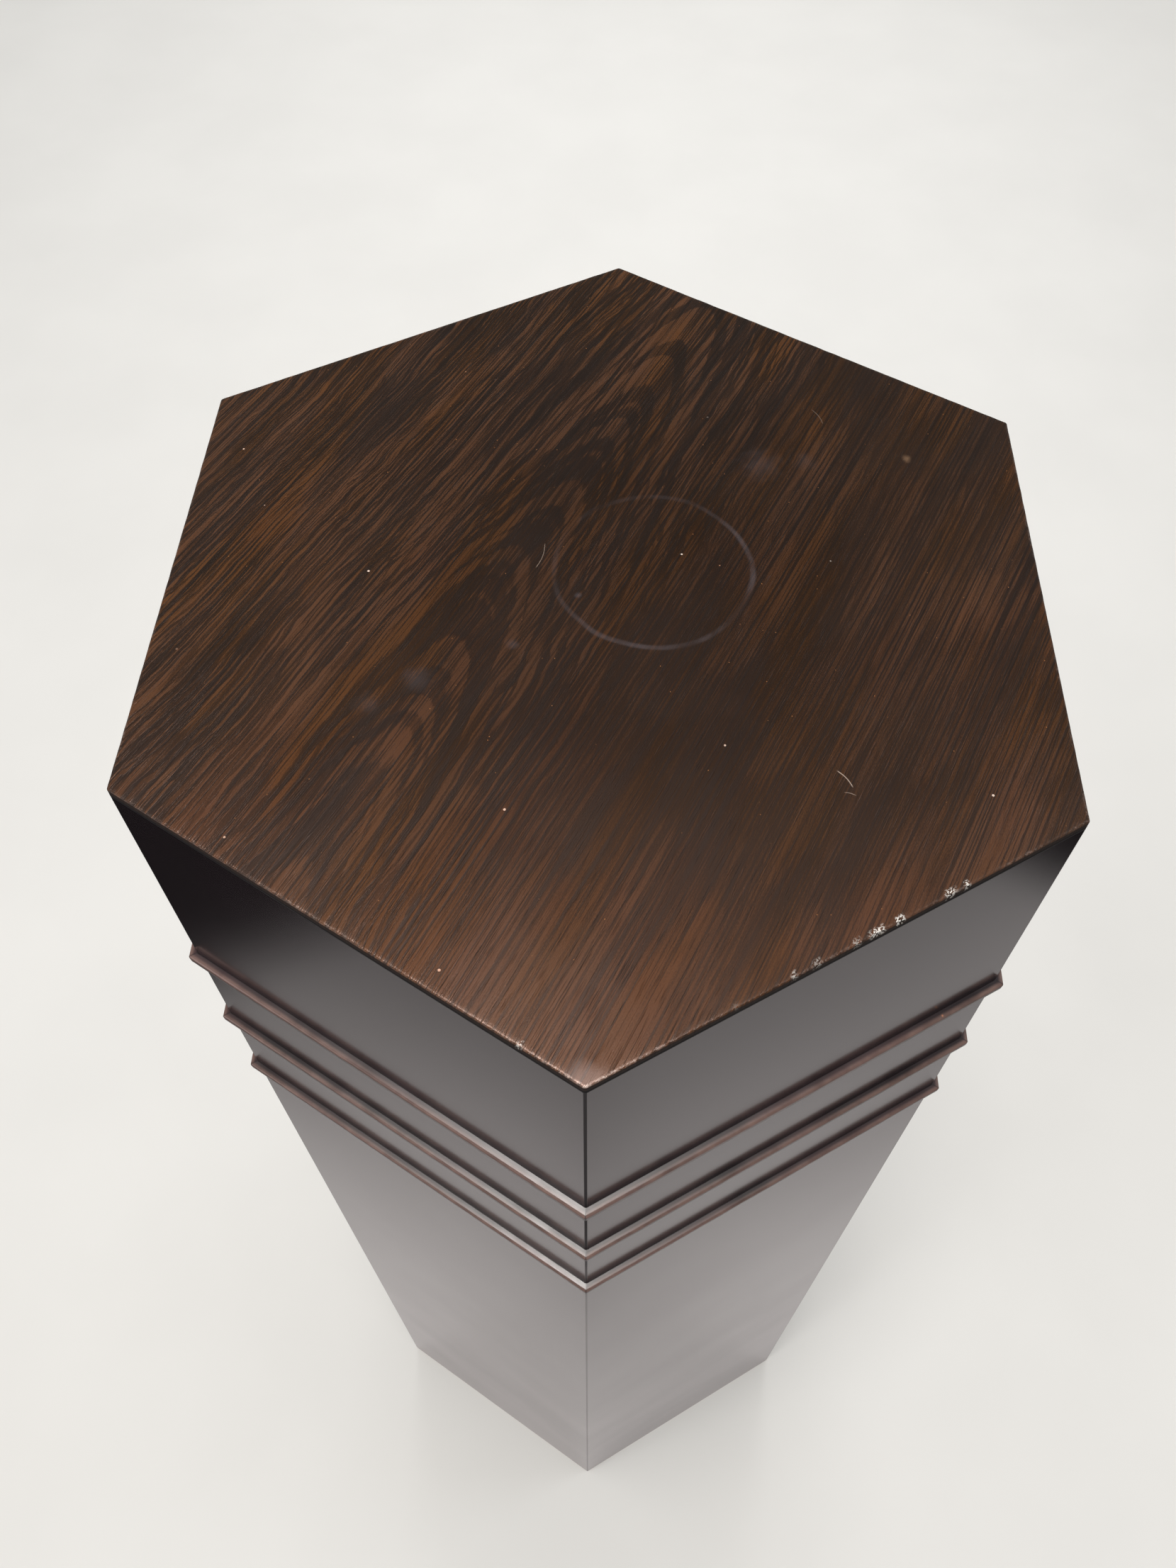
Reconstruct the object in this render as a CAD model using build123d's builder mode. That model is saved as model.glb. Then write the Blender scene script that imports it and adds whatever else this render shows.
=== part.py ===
"""Hexagonal display plinth: a tall hollow pedestal that widens towards the floor.

Six leaning boards are mitred together round two bulkheads, a top board and a bottom board.
A wood-faced sheet closes the top, three rows of thin strips ring the upper part, and six
levelling feet screw into the bottom board.

The origin is on the floor, under the middle of the plinth. Z points up and the corner that
faces the viewer points towards -Y. All sizes are in millimetres.
"""

import os
from math import atan, cos, degrees, radians, sin, tan

from build123d import *

# Overall shape
HEIGHT = 1200.0
TOP_ACROSS_CORNERS = 300.0
FOOT_ACROSS_CORNERS = 460.0
FLOOR_GAP = 3.0
CORNER_SETBACK = 0.2

# Boards
SIDE_THICKNESS = 15.0
TOP_BOARD_THICKNESS = 18.0
BOTTOM_BOARD_THICKNESS = 18.0
BOARD_FIT = 0.1
SHEET_THICKNESS = 2.0
SHEET_ARRIS = 0.6

# Bulkheads, housed in grooves in the side panels
BULKHEAD_SEATS = {"bulkhead_lower": 400.0, "bulkhead_upper": 800.0}
BULKHEAD_THICKNESS = 12.0
BULKHEAD_HOUSING = 4.0
BULKHEAD_HOLE_DIAMETER = 100.0

# Battens glued into the inside corners
BATTEN_WIDTH = 44.0
BATTEN_DEPTH = 18.0
NOTCH_CLEARANCE = 0.6

# Strips round the upper part, let into the side panels
BAND_COUNT = 3
FIRST_BAND_DROP = 105.0
BAND_PITCH = 55.5
BAND_HEIGHT = 4.0
BAND_PROUD = 2.8
BAND_LET_IN = 3.0
BAND_TOP_ROUND = 1.0
BAND_UNDER_ROUND = 0.5

# Countersunk wood screws
SCREW_DIAMETER = 4.0
SCREW_HEAD_DIAMETER = 8.0
SCREW_LENGTH = 45.0
SCREW_POINT_LENGTH = 5.0
SCREW_POINT_DIAMETER = 0.8
DRIVE_SLOT_LENGTH = 4.4
DRIVE_SLOT_WIDTH = 0.9
DRIVE_SLOT_DEPTH = 1.6

# Levelling feet and the flanged inserts that they screw into
FOOT_INSET = 44.0
PAD_DIAMETER = 32.0
PAD_HEIGHT = 8.0
PAD_CHAMFER = 1.2
PAD_SOCKET_DEPTH = 5.0
STEM_DIAMETER = 8.0
STEM_LENGTH = 46.0
STEM_CHAMFER = 0.8
COLLAR_ACROSS_FLATS = 13.0
COLLAR_SIDES = 6
COLLAR_HEIGHT = 4.0
SEAT_CLEARANCE = 0.3
INSERT_WALL = 1.8
INSERT_LENGTH = 15.0
INSERT_CLEARANCE = 0.2
FLANGE_DIAMETER = 24.0
FLANGE_THICKNESS = 1.5

# The six faces and corners, named in turn from +X towards +Y
SIDES = 6
FACE_NAMES = ("right", "back_right", "back_left", "left", "front_left", "front_right")
CORNER_NAMES = ("right_back", "back", "left_back", "left_front", "front", "right_front")
FULL_TURN = 360 / SIDES
HALF_TURN = FULL_TURN / 2
FLAT_RATIO = cos(radians(HALF_TURN))

# Slopes and levels that follow from the sizes above
CORNER_SPREAD = (FOOT_ACROSS_CORNERS - TOP_ACROSS_CORNERS) / 2
CORNER_LEAN = degrees(atan(CORNER_SPREAD / HEIGHT))
FACE_LEAN = degrees(atan(CORNER_SPREAD * FLAT_RATIO / HEIGHT))
SIDE_LEVEL_THICKNESS = SIDE_THICKNESS / cos(radians(FACE_LEAN))
SHEET_CORNER_ROUND = CORNER_SETBACK / (1 / FLAT_RATIO - 1)

PANEL_HEAD = HEIGHT - SHEET_THICKNESS
TOP_BOARD_UNDERSIDE = PANEL_HEAD - TOP_BOARD_THICKNESS
FLANGE_UNDERSIDE = PAD_HEIGHT + COLLAR_HEIGHT + SEAT_CLEARANCE
BOTTOM_BOARD_UNDERSIDE = FLANGE_UNDERSIDE + FLANGE_THICKNESS
BOTTOM_BOARD_TOP = BOTTOM_BOARD_UNDERSIDE + BOTTOM_BOARD_THICKNESS
BAND_TOPS = [HEIGHT - FIRST_BAND_DROP - row * BAND_PITCH for row in range(BAND_COUNT)]
INSERT_BORE = STEM_DIAMETER + 2 * INSERT_CLEARANCE
INSERT_DIAMETER = INSERT_BORE + 2 * INSERT_WALL


def corner_radius(level):
    """Distance from the axis to an outer corner at a height."""
    return FOOT_ACROSS_CORNERS / 2 - CORNER_SPREAD * level / HEIGHT


def face_radius(level):
    """Distance from the axis to the middle of an outer face at a height."""
    return corner_radius(level) * FLAT_RATIO


def inner_face_radius(level):
    """Distance from the axis to the inside of a side panel at a height."""
    return face_radius(level) - SIDE_LEVEL_THICKNESS


def inner_corner_radius(level):
    """Distance from the axis to an inside corner at a height."""
    return inner_face_radius(level) / FLAT_RATIO


TOP_SCREW_REACH = SCREW_LENGTH - TOP_BOARD_THICKNESS
BOTTOM_SCREW_REACH = SCREW_LENGTH - BOTTOM_BOARD_THICKNESS
TOP_SCREW_RADIUS = inner_corner_radius(TOP_BOARD_UNDERSIDE) - BATTEN_DEPTH / 2
BOTTOM_SCREW_RADIUS = inner_corner_radius(BOTTOM_BOARD_TOP) - BATTEN_DEPTH / 2
FOOT_RADIUS = inner_corner_radius(BOTTOM_BOARD_TOP) - FOOT_INSET

UNDERSIDE_PLANE = Plane((0, 0, BOTTOM_BOARD_UNDERSIDE), x_dir=(1, 0, 0), z_dir=(0, 0, -1))
STANDING = (Align.CENTER, Align.CENTER, Align.MIN)
HANGING = (Align.CENTER, Align.CENTER, Align.MAX)


def upright_plane(azimuth):
    """Plane through the axis: its X points outwards along the azimuth and its Y points up."""
    turn = radians(azimuth)
    return Plane((0, 0, 0), x_dir=(cos(turn), sin(turn), 0), z_dir=(sin(turn), -cos(turn), 0))


def level_plane(level, azimuth=0.0):
    """Horizontal plane at a height: its X points outwards along the azimuth."""
    turn = radians(azimuth)
    return Plane((0, 0, level), x_dir=(cos(turn), sin(turn), 0), z_dir=(0, 0, 1))


def corner_line(azimuth):
    """Direction of an outer corner on its way up."""
    turn = radians(azimuth)
    return Vector(-CORNER_SPREAD * cos(turn), -CORNER_SPREAD * sin(turn), HEIGHT).normalized()


def mitre(azimuth):
    """Cut the piece in hand along the corner planes on both sides of its face."""
    for turn, side in ((-HALF_TURN, Keep.BOTTOM), (HALF_TURN, Keep.TOP)):
        split(bisect_by=upright_plane(azimuth + turn), keep=side)


def ease_corners(azimuth, reach, lean=0.0):
    """Take the tip off both outer corners of the piece in hand.

    The cut stands at a distance from the axis at floor level and leans in by an angle.
    """
    for turn in (-HALF_TURN, HALF_TURN):
        corner = radians(azimuth + turn)
        tip = (reach * cos(corner), reach * sin(corner), 0)
        outwards = (cos(corner), sin(corner), tan(radians(lean)))
        split(bisect_by=Plane(tip, z_dir=outwards), keep=Keep.BOTTOM)


def export_piece(piece, label):
    """Name a finished piece and write its file."""
    piece.part.label = label
    export_step(piece.part, f"parts/{label}.step")


def side_panel(azimuth):
    """One leaning board, grooved outside for the strips and inside for the bulkheads."""
    with BuildPart() as panel:
        with BuildSketch(upright_plane(azimuth)):
            with BuildLine():
                Polyline(
                    (face_radius(FLOOR_GAP), FLOOR_GAP),
                    (face_radius(PANEL_HEAD), PANEL_HEAD),
                    (inner_face_radius(PANEL_HEAD), PANEL_HEAD),
                    (inner_face_radius(FLOOR_GAP), FLOOR_GAP),
                    close=True,
                )
            make_face()
            for top in BAND_TOPS:
                with Locations((face_radius(top) - BAND_LET_IN, top)):
                    Rectangle(
                        BAND_LET_IN + BAND_PROUD,
                        BAND_HEIGHT,
                        align=(Align.MIN, Align.MAX),
                        mode=Mode.SUBTRACT,
                    )
            for seat in BULKHEAD_SEATS.values():
                housing_bottom = inner_face_radius(seat + BULKHEAD_THICKNESS) + BULKHEAD_HOUSING
                with Locations((housing_bottom, seat)):
                    Rectangle(
                        2 * BULKHEAD_HOUSING,
                        BULKHEAD_THICKNESS,
                        align=(Align.MAX, Align.MIN),
                        mode=Mode.SUBTRACT,
                    )
        extrude(amount=corner_radius(0), both=True)
        mitre(azimuth)
        ease_corners(azimuth, corner_radius(0) - CORNER_SETBACK, CORNER_LEAN)
    return panel


def band_strip(azimuth, top):
    """One mitred strip of a row, with its outer edges rounded."""
    with BuildPart() as strip:
        with BuildSketch(upright_plane(azimuth)) as section:
            with Locations((face_radius(top) - BAND_LET_IN, top)):
                Rectangle(BAND_LET_IN + BAND_PROUD, BAND_HEIGHT, align=(Align.MIN, Align.MAX))
            lower_tip, upper_tip = section.vertices().group_by(Axis.X)[-1].sort_by(Axis.Y)
            fillet(lower_tip, BAND_UNDER_ROUND)
            fillet(upper_tip, BAND_TOP_ROUND)
        extrude(amount=corner_radius(0), both=True)
        mitre(azimuth)
        ease_corners(azimuth, (face_radius(top) + BAND_PROUD) / FLAT_RATIO - CORNER_SETBACK)
    return strip


def corner_batten(azimuth):
    """Batten that backs one mitre, from the bottom board to the top board."""
    half = BATTEN_WIDTH / 2
    tip = inner_corner_radius(BOTTOM_BOARD_TOP)
    shoulder = tip - half * tan(radians(HALF_TURN))
    back = tip - BATTEN_DEPTH
    length = (TOP_BOARD_UNDERSIDE - BOTTOM_BOARD_TOP) / cos(radians(CORNER_LEAN))
    pilot = SCREW_DIAMETER / 2
    with BuildPart() as batten:
        with BuildSketch(level_plane(BOTTOM_BOARD_TOP, azimuth)):
            Polygon((tip, 0), (shoulder, half), (back, half), (back, -half), (shoulder, -half), align=None)
        extrude(amount=length, dir=corner_line(azimuth))
        with Locations(level_plane(BOTTOM_BOARD_TOP, azimuth)):
            with Locations((BOTTOM_SCREW_RADIUS, 0)):
                Cylinder(pilot, BOTTOM_SCREW_REACH, align=STANDING, mode=Mode.SUBTRACT)
        with Locations(level_plane(TOP_BOARD_UNDERSIDE, azimuth)):
            with Locations((TOP_SCREW_RADIUS, 0)):
                Cylinder(pilot, TOP_SCREW_REACH, align=HANGING, mode=Mode.SUBTRACT)
    return batten


def bulkhead(seat):
    """Hexagonal frame let into the side panels, notched round the battens."""
    head = seat + BULKHEAD_THICKNESS
    outline = (inner_face_radius(head) + BULKHEAD_HOUSING - BOARD_FIT) / FLAT_RATIO
    notch = inner_corner_radius(head) - BATTEN_DEPTH - NOTCH_CLEARANCE
    with BuildPart() as frame:
        with BuildSketch(level_plane(seat)):
            RegularPolygon(outline, SIDES, rotation=HALF_TURN)
            Circle(BULKHEAD_HOLE_DIAMETER / 2, mode=Mode.SUBTRACT)
            with PolarLocations(notch, SIDES, start_angle=HALF_TURN):
                Rectangle(
                    outline,
                    BATTEN_WIDTH + 2 * NOTCH_CLEARANCE,
                    align=(Align.MIN, Align.CENTER),
                    mode=Mode.SUBTRACT,
                )
        extrude(amount=BULKHEAD_THICKNESS)
    return frame


def bevelled_board(underside, thickness):
    """Hexagonal board whose edges lean with the side panels."""
    with BuildPart() as board:
        with BuildSketch(level_plane(underside)):
            RegularPolygon(inner_corner_radius(underside) - BOARD_FIT, SIDES, rotation=HALF_TURN)
        extrude(amount=thickness, taper=FACE_LEAN)
    return board


def top_board():
    """Board under the sheet, screwed down into the battens."""
    blank = bevelled_board(TOP_BOARD_UNDERSIDE, TOP_BOARD_THICKNESS)
    with BuildPart() as board:
        add(blank.part)
        with Locations(level_plane(PANEL_HEAD)):
            with PolarLocations(TOP_SCREW_RADIUS, SIDES, start_angle=HALF_TURN):
                CounterSinkHole(SCREW_DIAMETER / 2, SCREW_HEAD_DIAMETER / 2)
    return board


def bottom_board():
    """Board set up inside the foot, screwed up into the battens and bored for the inserts."""
    blank = bevelled_board(BOTTOM_BOARD_UNDERSIDE, BOTTOM_BOARD_THICKNESS)
    with BuildPart() as board:
        add(blank.part)
        with Locations(UNDERSIDE_PLANE):
            with PolarLocations(BOTTOM_SCREW_RADIUS, SIDES, start_angle=HALF_TURN):
                CounterSinkHole(SCREW_DIAMETER / 2, SCREW_HEAD_DIAMETER / 2)
            with PolarLocations(FOOT_RADIUS, SIDES, start_angle=HALF_TURN):
                Hole(INSERT_DIAMETER / 2)
    return board


def top_sheet():
    """Wood-faced sheet that covers the top board and the ends of the side panels."""
    with BuildPart() as sheet:
        with BuildSketch(level_plane(PANEL_HEAD)) as outline:
            RegularPolygon(corner_radius(PANEL_HEAD), SIDES, rotation=HALF_TURN)
            fillet(outline.vertices(), SHEET_CORNER_ROUND)
        extrude(amount=SHEET_THICKNESS, taper=FACE_LEAN)
        fillet(sheet.faces().sort_by(Axis.Z)[-1].edges(), SHEET_ARRIS)
    return sheet


def countersunk_screw():
    """Wood screw with its head's flat face on Z = 0 and its point hanging down."""
    head = SCREW_HEAD_DIAMETER / 2
    shank = SCREW_DIAMETER / 2
    with BuildPart() as screw:
        with BuildSketch(Plane.XZ):
            Polygon(
                (0, 0),
                (head, 0),
                (shank, shank - head),
                (shank, SCREW_POINT_LENGTH - SCREW_LENGTH),
                (SCREW_POINT_DIAMETER / 2, -SCREW_LENGTH),
                (0, -SCREW_LENGTH),
                align=None,
            )
        revolve(axis=Axis.Z)
        for turn in (0, 90):
            with Locations(Rotation(0, 0, turn)):
                Box(
                    DRIVE_SLOT_LENGTH,
                    DRIVE_SLOT_WIDTH,
                    DRIVE_SLOT_DEPTH,
                    align=HANGING,
                    mode=Mode.SUBTRACT,
                )
    return screw


def screw_ring(plane, radius):
    """Six screws on a circle, their heads flush with a plane that faces away from the points."""
    screw = countersunk_screw()
    with BuildPart() as ring:
        with Locations(plane):
            with PolarLocations(radius, SIDES, start_angle=HALF_TURN):
                add(screw.part)
    return ring


def foot_inserts():
    """Six flanged sleeves, pressed up into the bottom board."""
    with BuildPart() as inserts:
        with Locations(level_plane(FLANGE_UNDERSIDE)):
            with PolarLocations(FOOT_RADIUS, SIDES, start_angle=HALF_TURN):
                Cylinder(FLANGE_DIAMETER / 2, FLANGE_THICKNESS, align=STANDING)
                Cylinder(INSERT_DIAMETER / 2, FLANGE_THICKNESS + INSERT_LENGTH, align=STANDING)
                Hole(INSERT_BORE / 2)
    return inserts


def foot_stem(azimuth):
    """Threaded rod of a levelling foot, with the hexagon collar that turns it."""
    with BuildPart() as stem:
        with Locations(level_plane(0, azimuth)):
            with Locations((FOOT_RADIUS, 0, PAD_HEIGHT - PAD_SOCKET_DEPTH)):
                Cylinder(STEM_DIAMETER / 2, PAD_SOCKET_DEPTH + COLLAR_HEIGHT + STEM_LENGTH, align=STANDING)
        chamfer(stem.edges().sort_by(Axis.Z)[-1], STEM_CHAMFER)
        with BuildSketch(level_plane(PAD_HEIGHT, azimuth)):
            with Locations((FOOT_RADIUS, 0)):
                RegularPolygon(COLLAR_ACROSS_FLATS / 2, COLLAR_SIDES, major_radius=False)
        extrude(amount=COLLAR_HEIGHT)
    return stem


def foot_pad(azimuth):
    """Round plastic pad that carries a levelling foot's stem."""
    with BuildPart() as pad:
        with Locations(level_plane(0, azimuth)):
            with Locations((FOOT_RADIUS, 0)):
                Cylinder(PAD_DIAMETER / 2, PAD_HEIGHT, align=STANDING)
        chamfer(pad.edges(), PAD_CHAMFER)
        with Locations(level_plane(PAD_HEIGHT, azimuth)):
            with Locations((FOOT_RADIUS, 0)):
                Hole(STEM_DIAMETER / 2, depth=PAD_SOCKET_DEPTH)
    return pad


def main():
    """Build every piece and write it to its own file."""
    os.makedirs("parts", exist_ok=True)
    for index, side in enumerate(FACE_NAMES):
        azimuth = index * FULL_TURN
        export_piece(side_panel(azimuth), f"side_panel_{side}")
        for row, top in enumerate(BAND_TOPS, start=1):
            export_piece(band_strip(azimuth, top), f"band_{row}_{side}")
    for index, corner in enumerate(CORNER_NAMES):
        azimuth = index * FULL_TURN + HALF_TURN
        export_piece(corner_batten(azimuth), f"corner_batten_{corner}")
        export_piece(foot_stem(azimuth), f"foot_stem_{corner}")
        export_piece(foot_pad(azimuth), f"foot_pad_{corner}")
    for label, seat in BULKHEAD_SEATS.items():
        export_piece(bulkhead(seat), label)
    export_piece(top_board(), "top_board")
    export_piece(bottom_board(), "bottom_board")
    export_piece(top_sheet(), "top_sheet")
    export_piece(screw_ring(level_plane(PANEL_HEAD), TOP_SCREW_RADIUS), "top_board_screws")
    export_piece(screw_ring(UNDERSIDE_PLANE, BOTTOM_SCREW_RADIUS), "bottom_board_screws")
    export_piece(foot_inserts(), "foot_inserts")


if __name__ == "__main__":
    main()
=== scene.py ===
"""Looks of the display plinth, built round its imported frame.

The body is six leaning lacquered panels on a hexagon, three rows of mitred
strips round them, a veneered sheet on top and six levelling feet beneath.
Every length is in metres, unless its name ends in _mm or its docstring says
millimetres.
"""

import logging
import math
from dataclasses import dataclass, field
from enum import Enum
from typing import Callable, Sequence, Union

import bmesh
import bpy
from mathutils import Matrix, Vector, noise


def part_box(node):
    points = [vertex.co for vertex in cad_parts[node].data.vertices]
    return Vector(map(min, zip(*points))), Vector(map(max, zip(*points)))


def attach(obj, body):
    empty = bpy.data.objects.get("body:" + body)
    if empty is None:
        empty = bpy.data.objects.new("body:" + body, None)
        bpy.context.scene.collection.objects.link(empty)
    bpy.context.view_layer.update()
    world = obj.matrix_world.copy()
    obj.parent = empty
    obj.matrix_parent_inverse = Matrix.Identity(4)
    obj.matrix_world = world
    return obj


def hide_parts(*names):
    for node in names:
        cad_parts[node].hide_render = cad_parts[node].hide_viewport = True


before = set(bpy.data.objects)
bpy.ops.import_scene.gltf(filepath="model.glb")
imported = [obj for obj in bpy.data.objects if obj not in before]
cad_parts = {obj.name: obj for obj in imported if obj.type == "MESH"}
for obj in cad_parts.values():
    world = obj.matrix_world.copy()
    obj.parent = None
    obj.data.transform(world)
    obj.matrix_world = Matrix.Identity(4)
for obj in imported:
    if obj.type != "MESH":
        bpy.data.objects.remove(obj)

LOG = logging.getLogger("plinth")
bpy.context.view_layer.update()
SIDES = 6
MM = 0.001
CREASE = 40.0  # degrees; a sharper edge of a small part stays sharp
STEEP = 30.0  # how abruptly a thread starts and ends
WELD = 2e-6
NEAR = 1e-7
CORNER_TO_FACE = 1.1547

Material = bpy.types.Material
Node = bpy.types.Node
Piece = bpy.types.Object
Socket = bpy.types.NodeSocket
Feed = Union[Socket, float, int, Sequence[float]]
Pair = tuple[float, float]
Triple = tuple[float, float, float]
Colour = tuple[float, float, float, float]


class Face(Enum):
    """The six faces of the body, each with the azimuth that it looks along, in degrees."""

    RIGHT = 0.0
    BACK_RIGHT = 60.0
    BACK_LEFT = 120.0
    LEFT = 180.0
    FRONT_LEFT = 240.0
    FRONT_RIGHT = 300.0

    @property
    def label(self) -> str:
        """The face's part of a node name."""
        return self.name.lower()

    @property
    def outwards(self) -> Vector:
        """Level direction that points away from the body."""
        turn = math.radians(self.value)
        return Vector((math.cos(turn), math.sin(turn), 0.0))

    @property
    def sideways(self) -> Vector:
        """Level direction along the face, anticlockwise seen from above."""
        turn = math.radians(self.value)
        return Vector((-math.sin(turn), math.cos(turn), 0.0))


class Corner(Enum):
    """The six corners of the body, each with its azimuth in degrees."""

    RIGHT_BACK = 30.0
    BACK = 90.0
    LEFT_BACK = 150.0
    LEFT_FRONT = 210.0
    FRONT = 270.0
    RIGHT_FRONT = 330.0

    @property
    def label(self) -> str:
        """The corner's part of a node name."""
        return self.name.lower()


class Slot(Enum):
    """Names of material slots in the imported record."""

    WOOD_FACE = "wood_face"
    STRIP = "lacquered_strip"
    ZINC = "zinc_steel"
    FOOT_STEEL = "foot_steel"
    FOOT_PLASTIC = "foot_plastic"


def linear(red: int, green: int, blue: int, gain: float = 1.0) -> Colour:
    """Turn a colour as the eye reads it into the shader's linear values.

    Args:
        red: Red, 0 to 255.
        green: Green, 0 to 255.
        blue: Blue, 0 to 255.
        gain: Factor on the linear values.

    Returns:
        The colour with full alpha.
    """

    def channel(level: int) -> float:
        """One channel in linear light."""
        share = level / 255.0
        low = share / 12.92
        high = ((share + 0.055) / 1.055) ** 2.4
        return gain * (low if share <= 0.04045 else high)

    return (channel(red), channel(green), channel(blue), 1.0)


@dataclass(frozen=True)
class TaperedHexagon:
    """Outside of the body: a regular hexagon that shrinks evenly from floor to top."""

    height: float
    top_radius: float
    foot_radius: float

    @classmethod
    def from_frame(cls, setback: float = 0.0002) -> "TaperedHexagon":
        """Read the body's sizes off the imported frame.

        Args:
            setback: How far each outer corner is cut back.

        Returns:
            The hexagon, with its radii taken to the uncut corners.
        """
        sheet_low, sheet_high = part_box("top_sheet")
        panel_low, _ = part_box("side_panel_front_left")
        top = (sheet_high.y - sheet_low.y) / 2 + setback
        at_panel_foot = setback - panel_low.y
        height = sheet_high.z
        foot = (at_panel_foot * height - top * panel_low.z) / (height - panel_low.z)
        return cls(height=height, top_radius=top, foot_radius=foot)

    @property
    def slope(self) -> float:
        """How much the corner radius shrinks for each metre of height."""
        return (self.foot_radius - self.top_radius) / self.height

    def face_radius(self, level: float) -> float:
        """Distance from the axis to a face at a level."""
        return (self.foot_radius - self.slope * level) * math.cos(math.pi / SIDES)


def put(name: str, data: bpy.types.ID) -> Piece:
    """Make an object of some data and link it to the scene."""
    made = bpy.data.objects.new(name, data)
    bpy.context.scene.collection.objects.link(made)
    return made


def closed_mesh(name: str, work: bmesh.types.BMesh) -> bpy.types.Mesh:
    """Keep the work as a mesh and close it."""
    mesh = bpy.data.meshes.new(name)
    work.to_mesh(mesh)
    work.free()
    return mesh


# --------------------------------------------------------------------------
# Writing nodes
# --------------------------------------------------------------------------


class Graph:
    """Writes nodes into a tree: what finishes, shapes and the sky share."""

    def __init__(self, tree: bpy.types.NodeTree) -> None:
        """Start on a tree, and empty it."""
        self.tree = tree
        tree.nodes.clear()

    def add(self, kind: str, fill: dict[object, object] | None = None, **settings: object) -> Node:
        """Add one node.

        Args:
            kind: Blender's name for the node type.
            fill: Inputs by name or number, with a socket or a value for each.
            settings: Properties to set on it.

        Returns:
            The new node.
        """
        node = self.tree.nodes.new(kind)
        for key, value in settings.items():
            setattr(node, key, value)
        for key, value in (fill or {}).items():
            socket = node.inputs[key]
            if isinstance(value, Socket):
                self.tree.links.new(value, socket)
            else:
                socket.default_value = value
        return node

    def result(
        self, kind: str, fill: dict[object, object] | None = None, **settings: object
    ) -> Socket:
        """Add one node and return its first output."""
        return self.add(kind, fill, **settings).outputs[0]

    def math(self, operation: str, *values: Feed, clamp: bool = False) -> Socket:
        """Work out one number from up to three others, held between 0 and 1 on request."""
        inputs = dict(enumerate(values))
        return self.result("ShaderNodeMath", inputs, operation=operation, use_clamp=clamp)

    def plus(self, first: Feed, second: Feed, clamp: bool = False) -> Socket:
        """First plus second."""
        return self.math("ADD", first, second, clamp=clamp)

    def minus(self, first: Feed, second: Feed, clamp: bool = False) -> Socket:
        """First minus second."""
        return self.math("SUBTRACT", first, second, clamp=clamp)

    def times(self, first: Feed, *others: Feed) -> Socket:
        """All the numbers multiplied, from the first on."""
        for other in others:
            first = self.math("MULTIPLY", first, other)
        return first

    def fused(self, first: Feed, rate: Feed, rest: Feed, clamp: bool = False) -> Socket:
        """First times rate, plus the rest."""
        return self.math("MULTIPLY_ADD", first, rate, rest, clamp=clamp)

    def swayed(self, base: Feed, wander: Feed, reach: Feed) -> Socket:
        """A number pushed up or down by a wander whose middle is 0.5."""
        return self.fused(self.minus(wander, 0.5), reach, base)

    def along(self, x: Feed, y: Feed, turn: float) -> Socket:
        """How far a place lies along a direction, given by its angle from x to y."""
        return self.plus(self.times(x, math.cos(turn)), self.times(y, math.sin(turn)))

    def polar(self, radius: Feed, turn: Socket) -> tuple[Socket, Socket]:
        """Level coordinates of a place, from its distance and azimuth."""
        return tuple(self.times(radius, self.math(wave, turn)) for wave in ("COSINE", "SINE"))

    def point(self, x: Feed = 0.0, y: Feed = 0.0, z: Feed = 0.0) -> Socket:
        """Join three numbers into a vector."""
        return self.result("ShaderNodeCombineXYZ", {"X": x, "Y": y, "Z": z})

    def parts(self, vector: Feed) -> tuple[Socket, Socket, Socket]:
        """Split a vector into its three numbers."""
        node = self.add("ShaderNodeSeparateXYZ", {0: vector})
        return node.outputs[0], node.outputs[1], node.outputs[2]

    def step(
        self,
        value: Feed,
        low: float,
        high: float,
        start: Feed = 0.0,
        end: Feed = 1.0,
        smooth: bool = True,
    ) -> Socket:
        """Map a range of values to another, held at both ends.

        Args:
            value: The number to map.
            low: Where the map starts.
            high: Where the map ends.
            start: Result at low.
            end: Result at high.
            smooth: Whether it eases in and out.

        Returns:
            The mapped value.
        """
        kind = "SMOOTHSTEP" if smooth else "LINEAR"
        inputs = dict(enumerate((value, low, high, start, end)))
        return self.result("ShaderNodeMapRange", inputs, interpolation_type=kind, clamp=True)


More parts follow.
